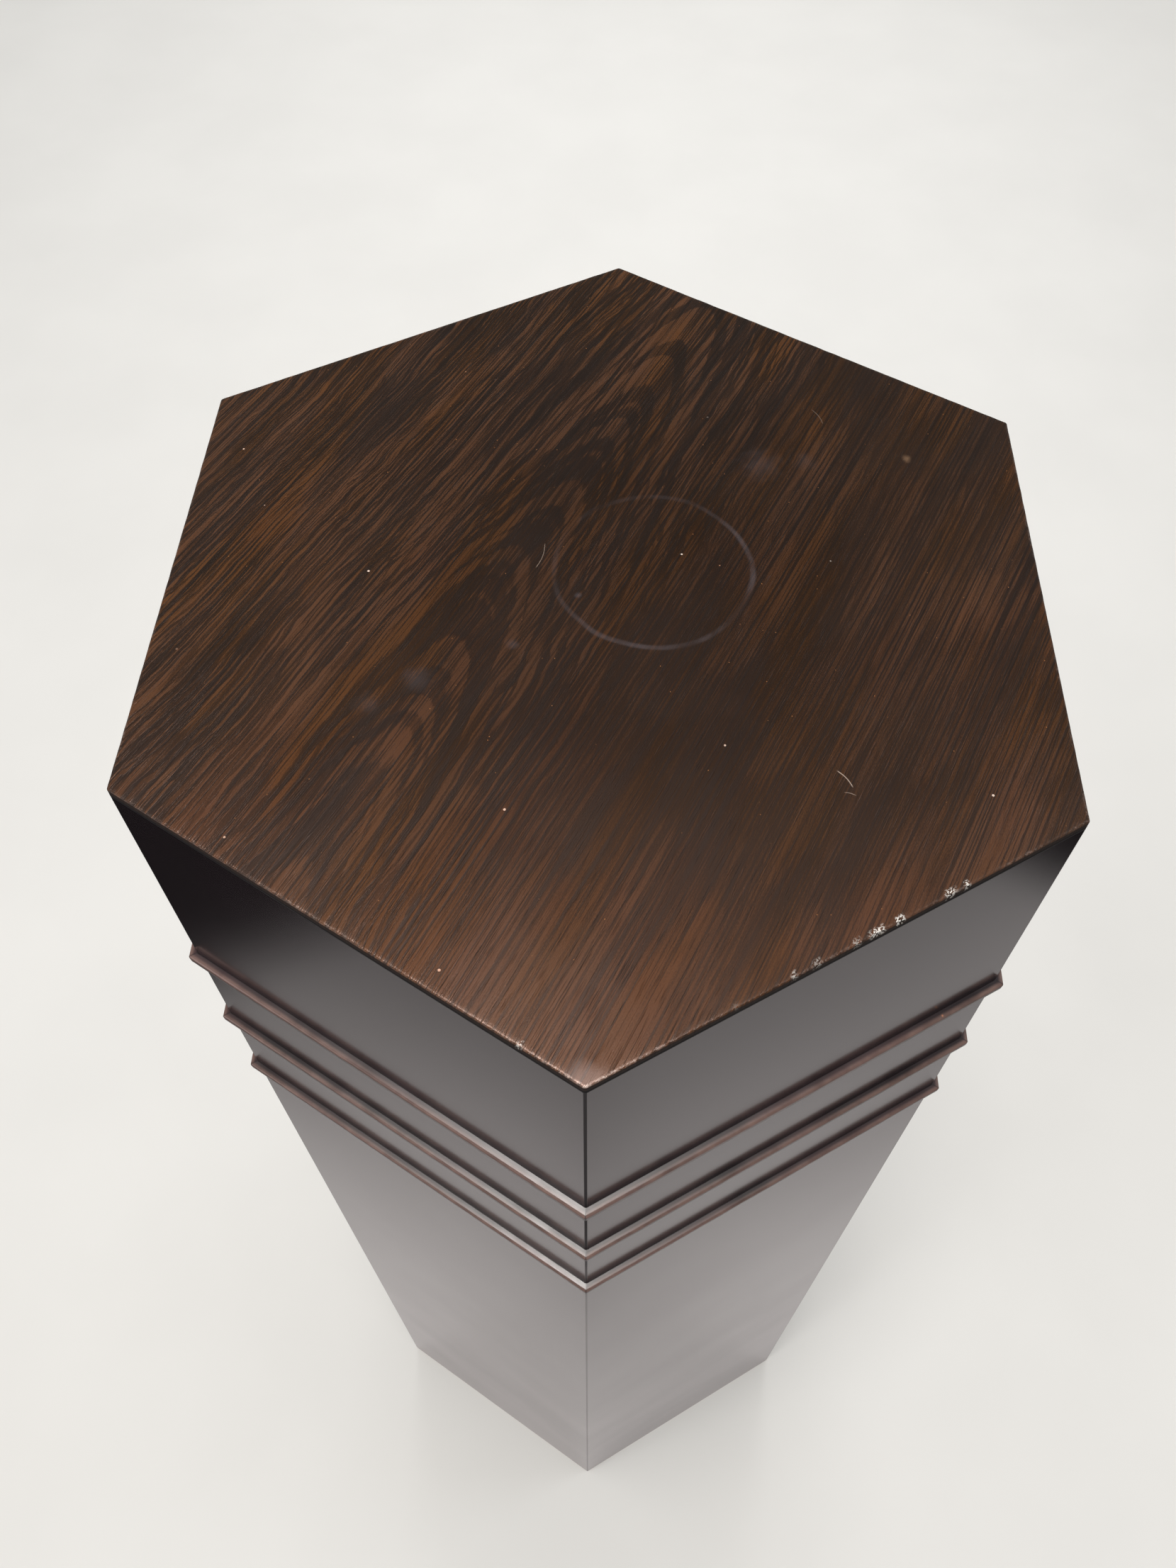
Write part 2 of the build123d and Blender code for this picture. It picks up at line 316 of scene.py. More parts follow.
class Sketch(Graph):
    """Writes a material's nodes, so that a finish reads as a recipe.

    It starts with the object coordinates in millimetres, joined as place and
    split as xyz.
    """

    def __init__(self, name: str) -> None:
        """Start an empty material of this name."""
        self.material = bpy.data.materials.new(name)
        self.material.use_nodes = True
        super().__init__(self.material.node_tree)
        self.place = self.object_mm()
        self.xyz = self.parts(self.place)

    def vector(self, operation: str, first: Feed, second: Feed = (0, 0, 0)) -> Node:
        """Add a vector sum, and return its node for either output."""
        return self.add("ShaderNodeVectorMath", {0: first, 1: second}, operation=operation)

    def reach(self, vector: Feed) -> Socket:
        """Length of a vector."""
        return self.vector("LENGTH", vector).outputs["Value"]

    def distance(self, x: Socket, y: Socket, from_x: float, from_y: float) -> Socket:
        """Level distance of a place from a fixed one."""
        return self.reach(self.point(self.minus(x, from_x), self.minus(y, from_y)))

    def object_mm(self) -> Socket:
        """Object coordinates in millimetres."""
        place = self.add("ShaderNodeTexCoord").outputs["Object"]
        return self.vector("MULTIPLY", place, (1000.0, 1000.0, 1000.0)).outputs[0]

    def stretched(self, x: Feed, y: Feed, z: Feed, rates: Sequence[float]) -> Socket:
        """Three numbers, each times its own rate, as one vector."""
        return self.vector("MULTIPLY", self.point(x, y, z), tuple(rates)).outputs[0]

    def noise(
        self,
        vector: Socket | None = None,
        scale: float = 1.0,
        detail: float = 2.0,
        rough: float = 0.5,
    ) -> Socket:
        """Soft random value between 0 and 1, read at a vector or at the place itself."""
        where = self.place if vector is None else vector
        inputs = {"Vector": where, "Scale": scale, "Detail": detail, "Roughness": rough}
        return self.result("ShaderNodeTexNoise", inputs)

    def layer(
        self,
        u: Socket,
        v: Socket,
        level: float,
        rates: Pair,
        detail: float = 2.0,
        rough: float = 0.5,
    ) -> Socket:
        """Noise with its own rate along u and v, in a plane of its own at the level."""
        return self.noise(self.stretched(u, v, level, (*rates, 1.0)), detail=detail, rough=rough)

    def blend(self, share: Feed, first: Feed, second: Feed, mode: str = "MIX") -> Socket:
        """Lay the second colour over the first, as much as the share says."""
        inputs = {0: share, 6: first, 7: second}
        return self.add("ShaderNodeMix", inputs, data_type="RGBA", blend_type=mode).outputs[2]

    def tinted(self, share: Feed, colour: Feed, tint: Colour) -> Socket:
        """A colour multiplied by a tint where the share is 1."""
        return self.blend(share, colour, self.blend(1.0, colour, tint, "MULTIPLY"))

    def ramp(self, value: Feed, stops: Sequence[tuple[float, Colour]]) -> Socket:
        """Turn a number into a colour by stops.

        Args:
            value: The number, 0 to 1.
            stops: Pairs of place and colour, in order.

        Returns:
            The colour.
        """
        node = self.add("ShaderNodeValToRGB", {0: value})
        bar = node.color_ramp
        while len(bar.elements) < len(stops):
            bar.elements.new(0.5)
        for element, (place, colour) in zip(bar.elements, stops):
            element.position = place
            element.color = colour
        return node.outputs[0]

    def attribute(self, name: str) -> Node:
        """Node that reads a value stored on the mesh."""
        return self.add("ShaderNodeAttribute", attribute_type="GEOMETRY", attribute_name=name)

    def face_distance_mm(self) -> Socket:
        """Level distance from the axis to the hexagon face that a place lies behind."""
        x, y, _ = self.xyz
        turns = (math.radians(azimuth) for azimuth in (0.0, 60.0, 120.0))
        first, second, third = (self.math("ABSOLUTE", self.along(x, y, turn)) for turn in turns)
        return self.math("MAXIMUM", self.math("MAXIMUM", first, second), third)

    def corner_distance_mm(self, face: Socket) -> Socket:
        """Level distance along a face from its nearest corner."""
        across = self.reach(self.point(*self.xyz[:2]))
        along = self.minus(self.times(across, across), self.times(face, face))
        along = self.math("SQRT", self.math("MAXIMUM", along, 0.0))
        return self.minus(self.times(face, math.tan(math.pi / SIDES)), along)

    def finish(
        self,
        colour: Feed,
        rough: Feed,
        bump: Socket | None = None,
        depth: float = 0.0,
        **fixed: object,
    ) -> Material:
        """Close the recipe with one surface shader.

        Args:
            colour: Base colour.
            rough: Roughness.
            bump: Height pattern, or None.
            depth: Height of the pattern in metres.
            fixed: Values set on the shader's own sockets, with _ for a space.

        Returns:
            The finished material.
        """
        shader = self.add("ShaderNodeBsdfPrincipled", {"Base Color": colour, "Roughness": rough})
        for key, value in fixed.items():
            shader.inputs[key.replace("_", " ")].default_value = value
        if bump is not None:
            relief = self.add(
                "ShaderNodeBump", {"Strength": 1.0, "Distance": depth, "Height": bump}
            )
            self.tree.links.new(relief.outputs[0], shader.inputs["Normal"])
        self.add("ShaderNodeOutputMaterial", {0: shader.outputs[0]})
        return self.material


@dataclass(frozen=True)
class Ridges:
    """A thread or ribs, in millimetres, between two points of a turned outline.

    It is a thread where it has a pitch and rows of its own, and upright ribs
    where it has neither. A negative depth cuts outwards, into a bore's wall.
    """

    first: int
    last: int
    depth: float
    count: int = 1
    pitch: float = 0.0
    rows: int = 0


@dataclass(frozen=True)
class Limit:
    """What holds in the points of a turned outline from first to last."""

    first: int
    last: int
    reach: "Callable[[Recipe, Socket], Socket]"


def hexagon_reach(recipe: "Recipe", turn: Socket, half_flats: float) -> Socket:
    """Distance from the axis to a hexagon's edge, with a corner where the turn is 0."""
    off = recipe.minus(recipe.math("MODULO", turn, math.pi / 3), math.pi / SIDES)
    return recipe.math("DIVIDE", half_flats, recipe.math("COSINE", off))


def cross_reach(recipe: "Recipe", turn: Socket, arm: float, half_width: float) -> Socket:
    """Distance from the axis to the edge of a cross-shaped recess."""
    across = (recipe.math("ABSOLUTE", recipe.math(wave, turn)) for wave in ("SINE", "COSINE"))
    narrow = recipe.math("MINIMUM", *across)
    return recipe.math("DIVIDE", half_width, recipe.math("MAXIMUM", narrow, half_width / arm))


class Recipe(Graph):
    """Writes one Geometry Nodes tree, and makes plain meshes with it."""

    def __init__(self, name: str) -> None:
        """Start an empty tree of this name."""
        super().__init__(bpy.data.node_groups.new(name, "GeometryNodeTree"))
        kind = "NodeSocketGeometry"
        self.tree.interface.new_socket("Geometry", in_out="OUTPUT", socket_type=kind)
        self.keys: dict[str, str] = {}
        self.intake = self.add("NodeGroupInput")

    def size(self, name: str) -> Socket:
        """Add a named input and return where it is read."""
        item = self.tree.interface.new_socket(name, in_out="INPUT", socket_type="NodeSocketFloat")
        self.keys[name] = item.identifier
        return next(s for s in self.intake.outputs if s.identifier == item.identifier)

    def place(self) -> tuple[Socket, Socket, Socket]:
        """The current point's three coordinates."""
        return self.parts(self.result("GeometryNodeInputPosition"))

    def move(self, geometry: Socket, place: Socket) -> Socket:
        """Put every point at a new place."""
        return self.result("GeometryNodeSetPosition", {"Geometry": geometry, "Position": place})

    def shift(self, geometry: Socket, offset: Feed) -> Socket:
        """Move a whole shape."""
        return self.result("GeometryNodeTransform", {"Geometry": geometry, "Translation": offset})

    def inside(self, row: Socket, first: int, last: int, margin: float) -> Socket:
        """1 on the rows of an outline from first to last, 0 on the others."""
        room = self.math("MINIMUM", self.minus(row, float(first)), self.minus(float(last), row))
        return self.plus(self.times(room, 1.0 if margin else STEEP), margin, clamp=True)

    def turned(
        self,
        outline: Sequence[Pair],
        around: int,
        ridges: Ridges | None = None,
        limit: Limit | None = None,
    ) -> Socket:
        """Turn an outline round the upright axis into a closed solid.

        Args:
            outline: Radius and height of each point, in millimetres; both ends
                lie on the axis, or the last point is the first one again.
            around: How many steps make the full turn.
            ridges: Thread or ribs cut into it, or None.
            limit: What holds some of its points in, such as flats, or None.

        Returns:
            The solid.
        """
        extra = ridges.rows if ridges else 0
        rows = len(outline) + extra
        grid = self.add(
            "GeometryNodeMeshGrid",
            {"Size X": 1.0, "Size Y": 1.0, "Vertices X": around + 1, "Vertices Y": rows},
        )
        index = self.result("GeometryNodeInputIndex")
        column = self.math("FLOOR", self.math("DIVIDE", self.plus(index, 0.5), float(rows)))
        row = self.minus(index, self.times(column, float(rows)))
        if ridges and extra:
            past = self.minus(row, float(ridges.first))
            within = self.math("DIVIDE", past, extra + 1.0, clamp=True)
            beyond = self.math("MAXIMUM", self.minus(past, extra + 1.0), 0.0)
            before = self.math("MINIMUM", row, float(ridges.first))
            row = self.plus(self.plus(before, within), beyond)
        turn = self.times(column, 2 * math.pi / around)
        radius: Feed = outline[0][0] * MM
        height: Feed = outline[0][1] * MM
        for number, (here, there) in enumerate(zip(outline, outline[1:])):
            reached = self.minus(row, float(number), clamp=True)
            radius = self.fused(reached, (there[0] - here[0]) * MM, radius)
            height = self.fused(reached, (there[1] - here[1]) * MM, height)
        if limit:
            free = self.minus(1.0, self.inside(row, limit.first, limit.last, 1.0))
            radius = self.math("MINIMUM", radius, self.plus(limit.reach(self, turn), free))
        if ridges:
            phase = self.times(turn, ridges.count / (2 * math.pi))
            if ridges.pitch:
                phase = self.minus(phase, self.math("DIVIDE", height, ridges.pitch * MM))
            within = self.inside(row, ridges.first, ridges.last, 0.0 if extra else 1.0)
            wave = self.times(self.math("PINGPONG", phase, 0.5), within)
            radius = self.fused(wave, -2 * ridges.depth * MM, radius)
        solid = self.move(grid.outputs[0], self.point(*self.polar(radius, turn), height))
        return self.result("GeometryNodeMergeByDistance", {"Geometry": solid, "Distance": WELD})

    def six(self, shape: Socket, radius: Feed, first: float) -> Socket:
        """Copies of a shape at the six corners or faces of the hexagon.

        Args:
            shape: The shape to repeat.
            radius: Distance of each copy from the axis.
            first: Azimuth of the first copy, in radians.

        Returns:
            The six copies, made real.
        """
        index = self.result("GeometryNodeInputIndex")
        turn = self.fused(index, 2 * math.pi / SIDES, first)
        seats = self.result("GeometryNodeMeshLine", {"Count": SIDES, "Offset": (0.0, 0.0, 0.0)})
        seats = self.move(seats, self.point(*self.polar(radius, turn)))
        copies = self.add(
            "GeometryNodeInstanceOnPoints",
            {"Points": seats, "Instance": shape, "Rotation": self.point(0.0, 0.0, turn)},
        )
        return self.result("GeometryNodeRealizeInstances", {"Geometry": copies.outputs[0]})

    def close(self, geometry: Socket, material: Material) -> "Recipe":
        """End the tree: real geometry, dressed.

        Args:
            geometry: The finished shape.
            material: What it is dressed in.

        Returns:
            This recipe.
        """
        real = self.result("GeometryNodeRealizeInstances", {"Geometry": geometry})
        dressed = self.result("GeometryNodeSetMaterial", {"Geometry": real, "Material": material})
        self.add("NodeGroupOutput", {0: dressed})
        return self

    def make(self, name: str, crease: float, **sizes: float) -> Piece:
        """Run the tree once and keep its result as a plain object.

        Args:
            name: Name of the new piece.
            crease: Angle in degrees above which an edge stays sharp.
            sizes: Values for the named inputs, with _ for a space.

        Returns:
            The piece, at the origin, with no modifier.
        """
        holder = put(f"{name}_maker", bpy.data.meshes.new(f"{name}_maker"))
        modifier = holder.modifiers.new("recipe", "NODES")
        modifier.node_group = self.tree
        for key, value in sizes.items():
            modifier[self.keys[key.replace("_", " ")]] = value
        view = bpy.context.evaluated_depsgraph_get()
        mesh = bpy.data.meshes.new_from_object(
            holder.evaluated_get(view), preserve_all_data_layers=True, depsgraph=view
        )
        holder.modifiers.remove(modifier)
        bpy.data.objects.remove(holder)
        return finished_piece(name, mesh, crease)


def finished_piece(name: str, mesh: bpy.types.Mesh, crease: float) -> Piece:
    """Turn a closed mesh's faces outwards and link it as a piece.

    Args:
        name: Name of the piece.
        mesh: Its mesh.
        crease: Angle in degrees above which an edge stays sharp.

    Returns:
        The piece, at the origin.
    """
    work = bmesh.new()
    work.from_mesh(mesh)
    bmesh.ops.remove_doubles(work, verts=work.verts, dist=NEAR)
    bmesh.ops.dissolve_degenerate(work, edges=work.edges, dist=NEAR)
    bmesh.ops.recalc_face_normals(work, faces=work.faces)
    for each in work.faces:
        each.smooth = True
    for edge in work.edges:
        flat = edge.calc_face_angle(0.0) < math.radians(crease)
        edge.smooth = len(edge.link_faces) == 2 and flat
    gaps = sum(1 for edge in work.edges if not edge.is_manifold)
    work.to_mesh(mesh)
    work.free()
    mesh.name = name
    piece = put(name, mesh)
    LOG.info("%s: %d faces, %d open edges", name, len(mesh.polygons), gaps)
    return piece


# --------------------------------------------------------------------------
# Finishes
# --------------------------------------------------------------------------


DRY_HAZE = linear(104, 100, 108)
PALE_HAZE = linear(112, 108, 116)


@dataclass(frozen=True)
class SoftMark:
    """A soft round mark on the top, in millimetres from its middle: mostly dried marks, and one
    painted highlight at the front corner.
    """

    x: float
    y: float
    reach: float
    strength: float
    tint: Colour


@dataclass(frozen=True)
class Scratch:
    """A fine pale line on the top, in millimetres from its middle."""

    start: Pair
    end: Pair
    width: float
    strength: float


@dataclass(frozen=True)
class Specks:
    """Scattered round specks, in millimetres: one cell in a few holds one."""

    level: float
    rate: float
    radius: float
    chance: Pair
    strength: float

    def lay(self, sketch: Sketch) -> tuple[Socket, Socket]:
        """Strength of the specks, and a random hue for each."""
        x, y, _ = sketch.xyz
        cells = sketch.stretched(x, y, self.level, (self.rate, self.rate, 1.0))
        inputs = {"Vector": cells, "Scale": 1.0}
        found = sketch.add("ShaderNodeTexVoronoi", inputs, feature="F1")
        luck, hue, _ = sketch.parts(found.outputs["Color"])
        spot = sketch.step(found.outputs["Distance"], self.radius, 2 * self.radius, 1.0, 0.0)
        return sketch.times(spot, sketch.step(luck, *self.chance, 0.0, self.strength)), hue


@dataclass(frozen=True)
class DarkVeneer:
    """Espresso-stained flame-cut veneer under satin lacquer, used and a little dusty; with painted
    light: a painted highlight towards the front and at the front corner, painted shade towards the
    back and in the middle, and painted glints.
    """

    grain_azimuth: float = 63.5
    figure_axis_mm: float = 27.0
    figure_reach: float = 0.19
    ring_pitch_mm: float = 24.0
    darkest: Colour = linear(17, 12, 9)
    dark: Colour = linear(26, 17, 12)
    middle: Colour = linear(42, 28, 19)
    light: Colour = linear(78, 52, 36)
    haze: Colour = DRY_HAZE
    edge: Colour = linear(9, 7, 7)
    # rubbed-edge colour, pale as a painted highlight at the front corner
    worn_and_highlight: Colour = linear(186, 170, 162)
    filler: Colour = linear(224, 221, 215)
    scratched: Colour = linear(178, 160, 146)
    pale_dust: Colour = linear(214, 206, 196)
    rust_dust: Colour = linear(206, 128, 72)
    # painted glint colour
    painted_glint: Colour = linear(170, 112, 66)
    warm_tint: Colour = linear(255, 205, 185)
    gold_tint: Colour = linear(255, 236, 170)
    painted_shade_tint: Colour = linear(150, 150, 150)
    gloss_tint: Colour = (1.0, 0.72, 0.62, 1.0)
    side_mm: Pair = (1199.5, 1199.85)
    # painted highlight: the tone is raised towards the front of the top
    front_mm: Pair = (-150.0, -55.0)
    front_painted_highlight: float = 0.24
    # painted shade: the tone is lowered towards the back of the top
    back_mm: Pair = (20.0, 140.0)
    back_painted_shade: float = -0.07
    dust: Specks = Specks(0.0, 0.085, 0.02, (0.55, 0.95), 0.85)
    # painted glints: tiny bright spots
    painted_glints: Specks = Specks(5.0, 0.3, 0.03, (0.5, 0.9), 0.6)
    ring_x: float = 14.0
    ring_y: float = 7.0
    ring_radius: float = 29.5
    marks_and_highlight: tuple[SoftMark, ...] = (
        SoftMark(48.0, 52.0, 9.0, 0.08, DRY_HAZE),
        SoftMark(62.0, 54.0, 5.0, 0.06, DRY_HAZE),
        SoftMark(95.0, 57.0, 2.2, 0.35, linear(140, 110, 84)),
        SoftMark(-8.0, -4.0, 1.6, 0.16, PALE_HAZE),
        SoftMark(-26.0, -23.0, 2.6, 0.1, PALE_HAZE),
        SoftMark(-52.0, -36.0, 6.0, 0.08, PALE_HAZE),
        SoftMark(-65.0, -45.0, 5.0, 0.07, PALE_HAZE),
        # painted highlight: a whitish haze at the front corner
        SoftMark(0.0, -148.0, 7.0, 0.2, linear(176, 160, 156)),
    )
    scratches: tuple[Scratch, ...] = (
        Scratch((64.5, -62.0), (68.0, -66.5), 0.22, 0.55),
        Scratch((66.0, -68.5), (68.5, -69.2), 0.18, 0.3),
        Scratch((-19.0, 15.5), (-21.0, 6.5), 0.16, 0.3),
        Scratch((66.0, 78.0), (69.0, 72.0), 0.16, 0.18),
    )

    def grain(self, sketch: Sketch, u: Socket, v: Socket) -> tuple[Socket, Socket]:
        """Figure, fibres and pores of the veneer.

        Args:
            sketch: The material in hand.
            u: Millimetres along the grain.
            v: Millimetres across the grain.

        Returns:
            The tone of the wood and the depth of its pores, 0 to 1 each.
        """
        sway = sketch.layer(u, v, 0.0, (0.0075, 0.013), detail=1.0)
        ripple = sketch.layer(u, v, 4.0, (0.03, 0.08))
        fret = sketch.layer(u, v, 9.0, (0.14, 0.6))
        shifted = sketch.minus(v, self.figure_axis_mm)
        for wander, reach in ((sway, 22.0), (ripple, 5.5), (fret, 1.1)):
            shifted = sketch.swayed(shifted, wander, reach)
        bow = sketch.times(shifted, shifted, self.figure_reach)
        rings = sketch.math("DIVIDE", sketch.plus(u, bow), self.ring_pitch_mm)
        bands = sketch.layer(rings, u, 0.0, (1.35, 0.006))
        jag = sketch.layer(u, v, 2.0, (0.03, 1.5), detail=3.0, rough=0.65)
        edge = sketch.swayed(bands, jag, 0.2)
        figure = sketch.step(edge, 0.465, 0.52)
        flame = sketch.layer(u, v, 5.0, (0.022, 0.075))
        flame = sketch.step(sketch.swayed(flame, jag, 0.16), 0.48, 0.55)
        left = sketch.step(v, -30.0, 4.0)
        bent = sketch.swayed(v, ripple, 7.0)
        bent = sketch.swayed(bent, fret, 0.7)
        lines = sketch.layer(u, bent, 14.0, (0.0035, 0.55), rough=0.45)
        lines = sketch.step(lines, 0.44, 0.53)
        fine = sketch.layer(u, v, 6.0, (0.006, 1.25), detail=3.0, rough=0.6)
        fine = sketch.step(fine, 0.43, 0.51)
        lined = sketch.layer(u, v, 3.0, (0.01, 0.03), detail=1.0)
        lined = sketch.step(lined, 0.4, 0.6, 0.2, 0.38)
        cloud = sketch.layer(u, v, 7.0, (0.014, 0.04), detail=4.0, rough=0.6)
        speckle = sketch.layer(u, v, 8.0, (1.6, 3.2))
        tone = sketch.swayed(0.48, cloud, 0.5)
        for part, weight in (
            (figure, sketch.fused(left, 0.21, 0.08)),
            (lines, sketch.fused(left, 0.15, 0.07)),
            (flame, sketch.fused(left, 0.04, 0.08)),
            (fine, lined),
            (jag, 0.26),
            (speckle, 0.46),
        ):
            tone = sketch.swayed(tone, part, weight)
        pores = sketch.layer(u, v, 1.0, (0.1, 2.6), detail=1.0)
        pores = sketch.step(pores, 0.58, 0.74)
        return tone, pores

    def ring_mark(self, sketch: Sketch) -> Socket:
        """Strength of the faint broken ring that a wet foot left."""
        x, y, _ = sketch.xyz
        reach = sketch.distance(x, y, self.ring_x, self.ring_y)
        wander = sketch.noise(scale=0.05, detail=1.0)
        reach = sketch.swayed(reach, wander, 2.4)
        off = sketch.math("ABSOLUTE", sketch.minus(reach, self.ring_radius))
        line = sketch.step(off, 0.25, 1.25, 1.0, 0.0)
        patchy = sketch.step(sketch.noise(scale=0.07, detail=3.0), 0.36, 0.66, 0.15, 1.0)
        right = sketch.step(sketch.minus(x, y), -22.0, 34.0, 0.3, 1.0)
        return sketch.times(line, patchy, sketch.times(right, 0.2))

    def scratch_mark(self, sketch: Sketch, scratch: Scratch) -> Socket:
        """Strength of one fine scratch."""
        x, y, _ = sketch.xyz
        start, end = Vector(scratch.start), Vector(scratch.end)
        along = end - start
        turn = math.atan2(along.y, along.x)
        from_x = sketch.minus(x, start.x)
        from_y = sketch.minus(y, start.y)
        run = sketch.along(from_x, from_y, turn)
        off = sketch.along(from_y, from_x, -turn)
        bow = sketch.math("SINE", sketch.times(run, math.pi / along.length))
        bow = sketch.times(bow, along.length * 0.07)
        off = sketch.math("ABSOLUTE", sketch.minus(off, bow))
        line = sketch.step(off, scratch.width * 0.3, scratch.width, scratch.strength, 0.0)
        begun = sketch.step(run, -0.6, 0.4)
        unended = sketch.step(run, along.length - 0.4, along.length + 0.6, 1.0, 0.0)
        return sketch.times(line, sketch.times(begun, unended))

    def build(self) -> Material:
        """Write the whole finish."""
        sketch = Sketch("dark_veneer")
        turn = (0.0, 0.0, -math.radians(self.grain_azimuth))
        turned = sketch.add(
            "ShaderNodeMapping", {"Vector": sketch.place, "Rotation": turn}, vector_type="POINT"
        )
        u, v, _ = sketch.parts(turned.outputs[0])
        x, y, z = sketch.xyz
        tone, pores = self.grain(sketch, u, v)
        # painted highlight: the tone rises towards the front; painted shade: it falls towards the
        # back
        tone = sketch.plus(tone, sketch.step(y, *self.front_mm, self.front_painted_highlight, 0.0))
        tone = sketch.plus(tone, sketch.step(y, *self.back_mm, 0.0, self.back_painted_shade))
        shades = (0.12, self.darkest), (0.34, self.dark), (0.56, self.middle), (0.86, self.light)
        wood = sketch.ramp(tone, shades)
        warm = sketch.layer(u, v, 3.0, (0.016, 0.03))
        warm = sketch.step(sketch.fused(y, -0.0016, warm), 0.46, 0.86, 0.0, 0.22)
        wood = sketch.tinted(warm, wood, self.warm_tint)
        golden = sketch.layer(u, v, 12.0, (0.012, 0.06))
        wood = sketch.tinted(sketch.step(golden, 0.44, 0.64, 0.1, 0.75), wood, self.gold_tint)
        wood = sketch.blend(sketch.times(pores, 0.5), wood, self.darkest)
        # painted shade: the middle of the top is darkened
        middle = sketch.reach(sketch.stretched(sketch.minus(x, 12.0), y, 0.0, (1.0, 0.8, 1.0)))
        wood = sketch.tinted(sketch.step(middle, 15.0, 120.0, 0.62, 0.0), wood, self.painted_shade_tint)
        marks = self.ring_mark(sketch)
        wood = sketch.blend(marks, wood, self.haze)
        # dried marks, and the painted highlight at the front corner
        for soft_mark in self.marks_and_highlight:
            reach = sketch.distance(x, y, soft_mark.x, soft_mark.y)
            reach = sketch.fused(sketch.noise(scale=0.25), soft_mark.reach, reach)
            share = sketch.step(reach, soft_mark.reach * 0.5, soft_mark.reach * 1.5, soft_mark.strength, 0.0)
            wood = sketch.blend(share, wood, soft_mark.tint)
        for scratch in self.scratches:
            wood = sketch.blend(self.scratch_mark(sketch, scratch), wood, self.scratched)
        speck, hue = self.dust.lay(sketch)
        wood = sketch.blend(speck, wood, sketch.blend(hue, self.pale_dust, self.rust_dust))
        # painted glints: tiny orange spots scattered over the top
        painted_glint, _ = self.painted_glints.lay(sketch)
        wood = sketch.blend(painted_glint, wood, self.painted_glint)
        # rubbed edge, with a painted highlight strongest at the front corner
        worn_and_highlight = sketch.attribute("rub_and_highlight").outputs["Fac"]
        patch = sketch.noise(scale=0.8, detail=4.0, rough=0.75)
        scuffed = sketch.times(worn_and_highlight, sketch.step(patch, 0.44, 0.66))
        side = sketch.step(z, *self.side_mm, 1.0, 0.0)
        wood = sketch.blend(side, wood, self.edge)
        wood = sketch.blend(scuffed, wood, self.worn_and_highlight)
        patch = sketch.noise(scale=1.7)
        bitten = sketch.attribute("chip").outputs["Fac"]
        chipped = sketch.times(bitten, sketch.step(patch, 0.49, 0.53))
        wood = sketch.blend(chipped, wood, self.filler)
        rough = sketch.step(sketch.noise(scale=0.03, detail=3.0), 0.3, 0.7, 0.0, 0.04)
        rough = sketch.plus(rough, sketch.step(tone, 0.22, 0.78, 0.4, 0.28))
        rough = sketch.fused(marks, 0.3, sketch.fused(side, 0.5, rough))
        relief = sketch.minus(sketch.times(tone, 0.7), sketch.times(pores, 0.5))
        return sketch.finish(
            wood, rough, relief, 0.00008, Specular_IOR_Level=0.7, Specular_Tint=self.gloss_tint
        )


@dataclass(frozen=True)
class BareBoard:
    """Plain fibreboard: close light-brown fibres, darker where it was cut."""

    pale: Colour = linear(176, 142, 104)
    deep: Colour = linear(140, 106, 74)

    def colour(self, sketch: Sketch) -> Socket:
        """Fibre pattern."""
        fluff = sketch.noise(scale=0.9, detail=5.0, rough=0.7)
        cloud = sketch.noise(scale=0.02)
        share = sketch.plus(sketch.times(fluff, 0.7), sketch.times(cloud, 0.3))
        return sketch.ramp(share, ((0.3, self.deep), (0.7, self.pale)))

    def build(self) -> Material:
        """Write the whole finish."""
        sketch = Sketch("bare_fibreboard")
        relief = sketch.noise(scale=1.4, detail=4.0, rough=0.7)
        return sketch.finish(self.colour(sketch), 0.86, relief, 0.00006, Specular_IOR_Level=0.25)


